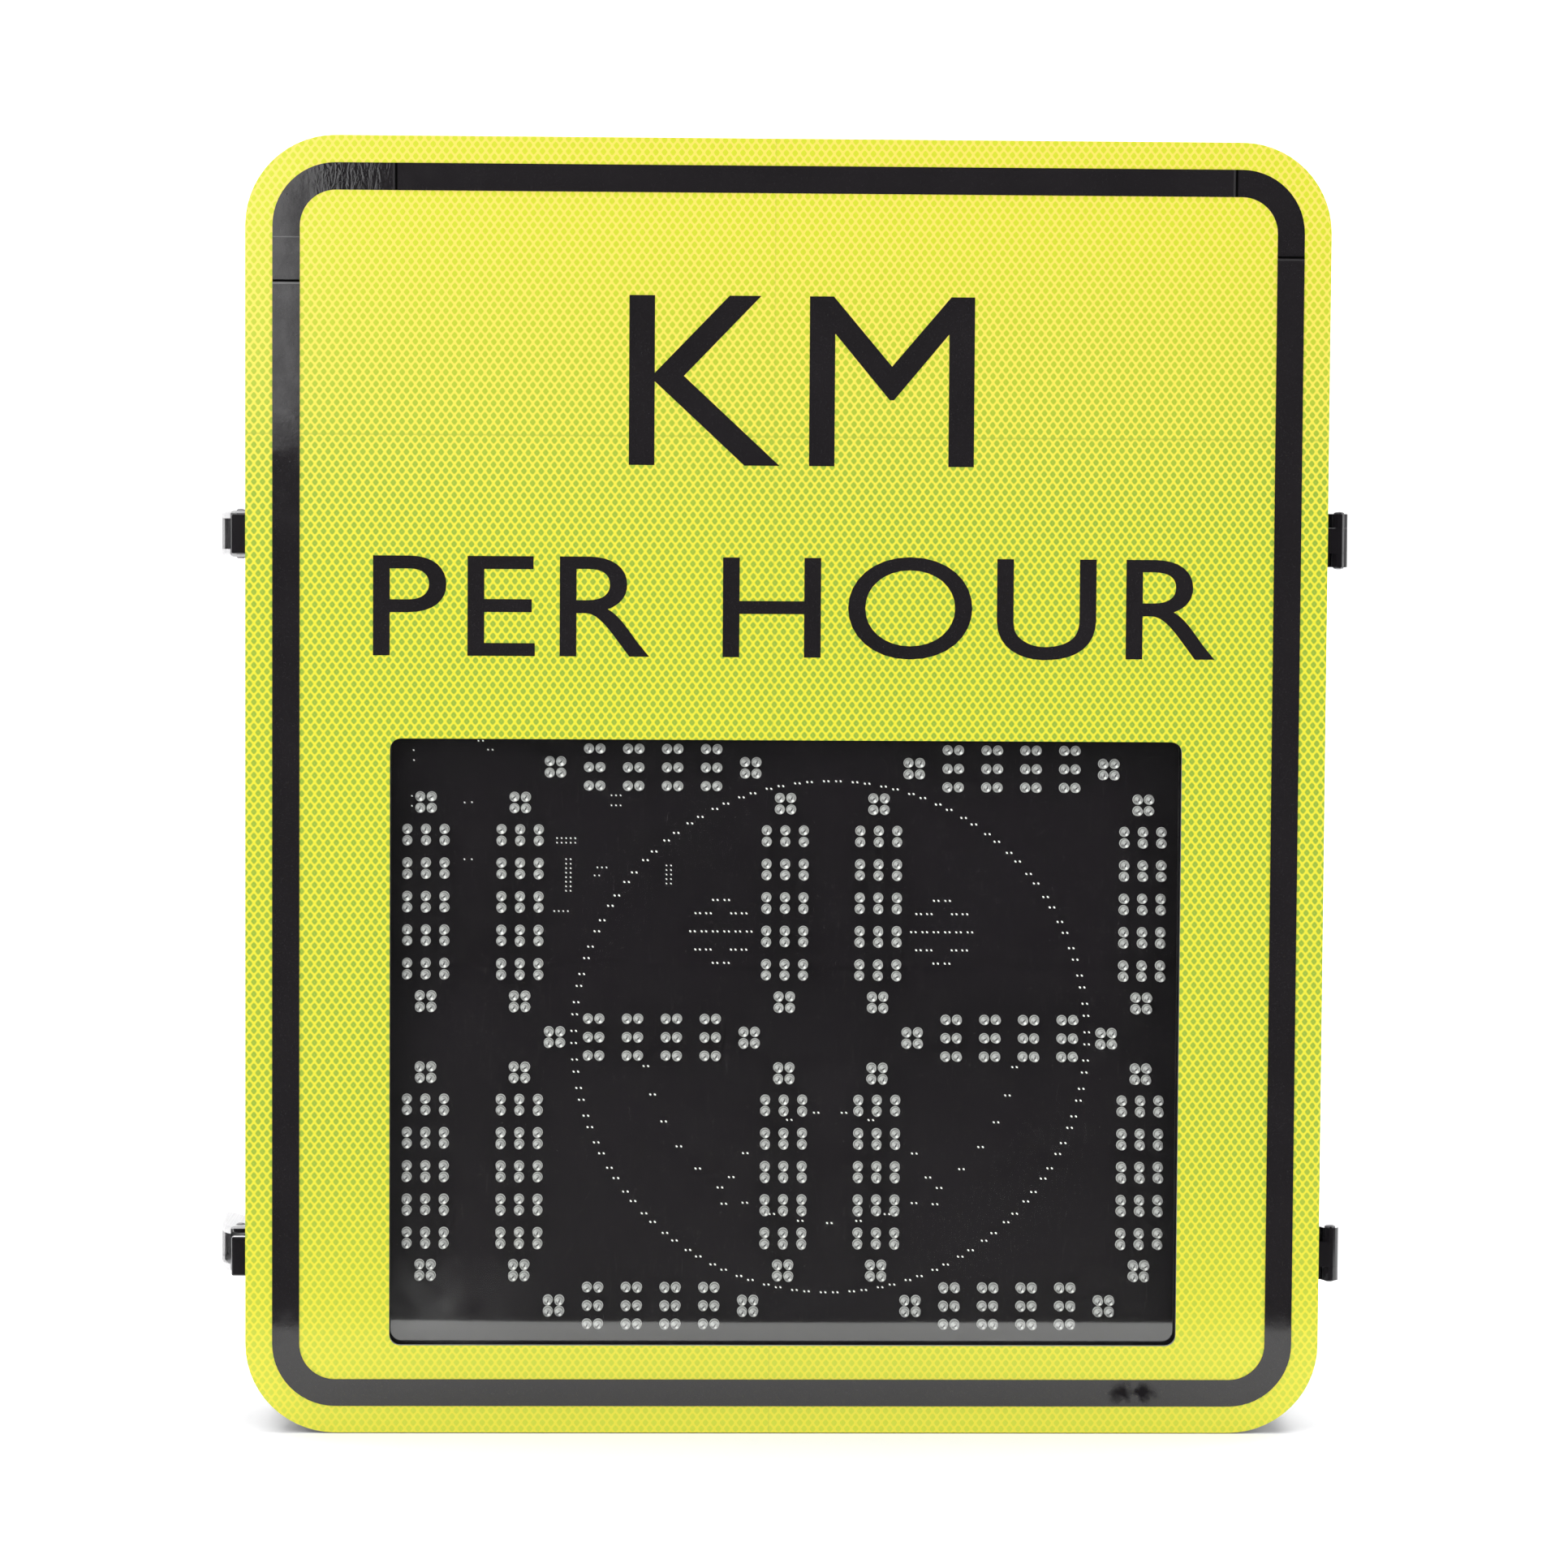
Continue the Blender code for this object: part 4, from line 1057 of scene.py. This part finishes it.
def plain_material(name, colour, roughness=0.9, glow=0.0):
    g = Graph(name, colour, roughness)
    place = g.place()
    g.drive("Base Color", g.mix(g.noise(place, 3, 2), tinted(colour, 0.99), tinted(colour, 1.01)))
    if glow:
        g.shader.inputs["Emission Color"].default_value = (1, 1, 1, 1)
        g.shader.inputs["Emission Strength"].default_value = glow
    return g.material


def stage_sheet(name, corners, material):
    """A flat stage card that shows in reflections only, as a studio flag does."""
    mesh = bpy.data.meshes.new(name)
    mesh.from_pydata([Vector(corner) for corner in corners], [], [range(len(corners))])
    card = linked(name, mesh)
    mesh.materials.append(material)
    card.visible_camera = False
    card.visible_diffuse = False
    card.visible_shadow = False
    card.visible_transmission = False


def cyclorama():
    """Pale floor that curves up into a pale backdrop."""
    bm = bmesh.new()
    half, front, back, bend, tall = 9.0, -6.0, 3.2, 1.6, 7.0
    profile = [(front, FLOOR_Z)]
    profile += [(back - bend + bend * math.sin(step / 12 * math.pi / 2),
                 FLOOR_Z + bend - bend * math.cos(step / 12 * math.pi / 2)) for step in range(13)]
    profile.append((back, FLOOR_Z + tall))
    left = [bm.verts.new((-half, y, z)) for y, z in profile]
    right = [bm.verts.new((half, y, z)) for y, z in profile]
    for step in range(len(profile) - 1):
        bm.faces.new((left[step], right[step], right[step + 1], left[step + 1]))
    mesh = bpy.data.meshes.new("cyclorama")
    bm.to_mesh(mesh)
    bm.free()
    mesh.shade_smooth()
    floor = linked("cyclorama", mesh)
    mesh.materials.append(plain_material("pale_floor", (0.93, 0.93, 0.93)))


TABLE_EDGE_Y = FACE_Y - 0.330
CARD_Y = -2.95


def stage():
    cyclorama()
    dark = plain_material("dark_flag", (0.012, 0.012, 0.012))
    far, wide, high = CARD_Y, 4.0, 4.0
    level = FLOOR_Z + 3 * MM
    stage_sheet("dark_flag_low", [(-wide, TABLE_EDGE_Y, level), (wide, TABLE_EDGE_Y, level),
                                  (wide, far, level), (-wide, far, level)], dark)
    stage_sheet("dark_flag_back", [(-wide, far, level), (wide, far, level),
                                   (wide, far, high), (-wide, far, high)], dark)
    glow = plain_material("soft_window", (0.8, 0.8, 0.8), glow=1.0)
    near = far + 0.05
    strip = plain_material("soft_strip", (0.8, 0.8, 0.8), glow=1.5)
    stage_sheet("soft_strip_right", [(2.24, -1.79, -0.30), (2.40, -1.57, -0.30),
                                     (2.40, -1.57, 1.3), (2.24, -1.79, 1.3)], strip)
    stage_sheet("soft_window_left", [(-1.9, near, 0.30), (-0.47, near, 0.30),
                                     (-0.42, near, 1.6), (-1.9, near, 1.6)], glow)


def area_light(name, place, aim, size, power):
    """A soft light that isn't mirrored in the gloss."""
    lamp = bpy.data.lights.new(name, "AREA")
    lamp.shape = "RECTANGLE"
    lamp.size, lamp.size_y = size
    lamp.energy = power
    item = linked(name, lamp)
    item.location = place
    item.rotation_mode = "QUATERNION"
    item.rotation_quaternion = (Vector(aim) - Vector(place)).to_track_quat("-Z", "Y")
    item.visible_glossy = False


def lights():
    world = bpy.data.worlds.new("pale_surround")
    world.use_nodes = True
    surround = world.node_tree.nodes["Background"]
    surround.inputs["Color"].default_value = (1, 1, 1, 1)
    surround.inputs["Strength"].default_value = 0.62
    bpy.context.scene.world = world
    area_light("key_upper_left", (-1.9, -2.2, 2.1), (0, -0.1, 0.05), (1.6, 1.6), 38)
    area_light("fill_right", (2.3, -2.0, 1.1), (0, -0.1, 0.0), (1.6, 1.6), 18)
    area_light("floor_wash", (0, 0.6, 3.2), (0, 1.2, FLOOR_Z), (4.0, 3.0), 190)


CAMERA_PLACE = (-77.8 * MM, -2824 * MM, 207 * MM)
CAMERA_TURN = (-1.680, -3.219, -0.363)     # yaw, pitch and roll in degrees, from looking along +Y
CAMERA_LENS = 107.68


def camera():
    data = bpy.data.cameras.new("camera")
    data.lens = CAMERA_LENS
    data.sensor_width = 36.0
    item = linked("camera", data)
    turns = Matrix.Identity(3)
    for angle, axis in zip(CAMERA_TURN, "ZXY"):
        turns = turns @ Matrix.Rotation(math.radians(angle), 3, axis)
    turns = turns @ Matrix.Rotation(math.radians(90), 3, "X")
    item.matrix_world = Matrix.Translation(CAMERA_PLACE) @ turns.to_4x4()
    data.clip_start, data.clip_end = 0.05, 60
    bpy.context.scene.camera = item


bpy.context.scene.view_settings.view_transform = "Standard"
all_leds()
board_pads()
border()
legend("legend_upper", "KM", 237 * MM, 100 * MM, 191 * MM, 7 * MM)
legend("legend_lower", "PER HOUR", 131 * MM, 59 * MM, 467 * MM, 4 * MM)
hinge_and_latch_screws()
rear_fixings()
fittings()
door_devices()
board_back()
box_devices()
wires()
stage()
lights()
camera()
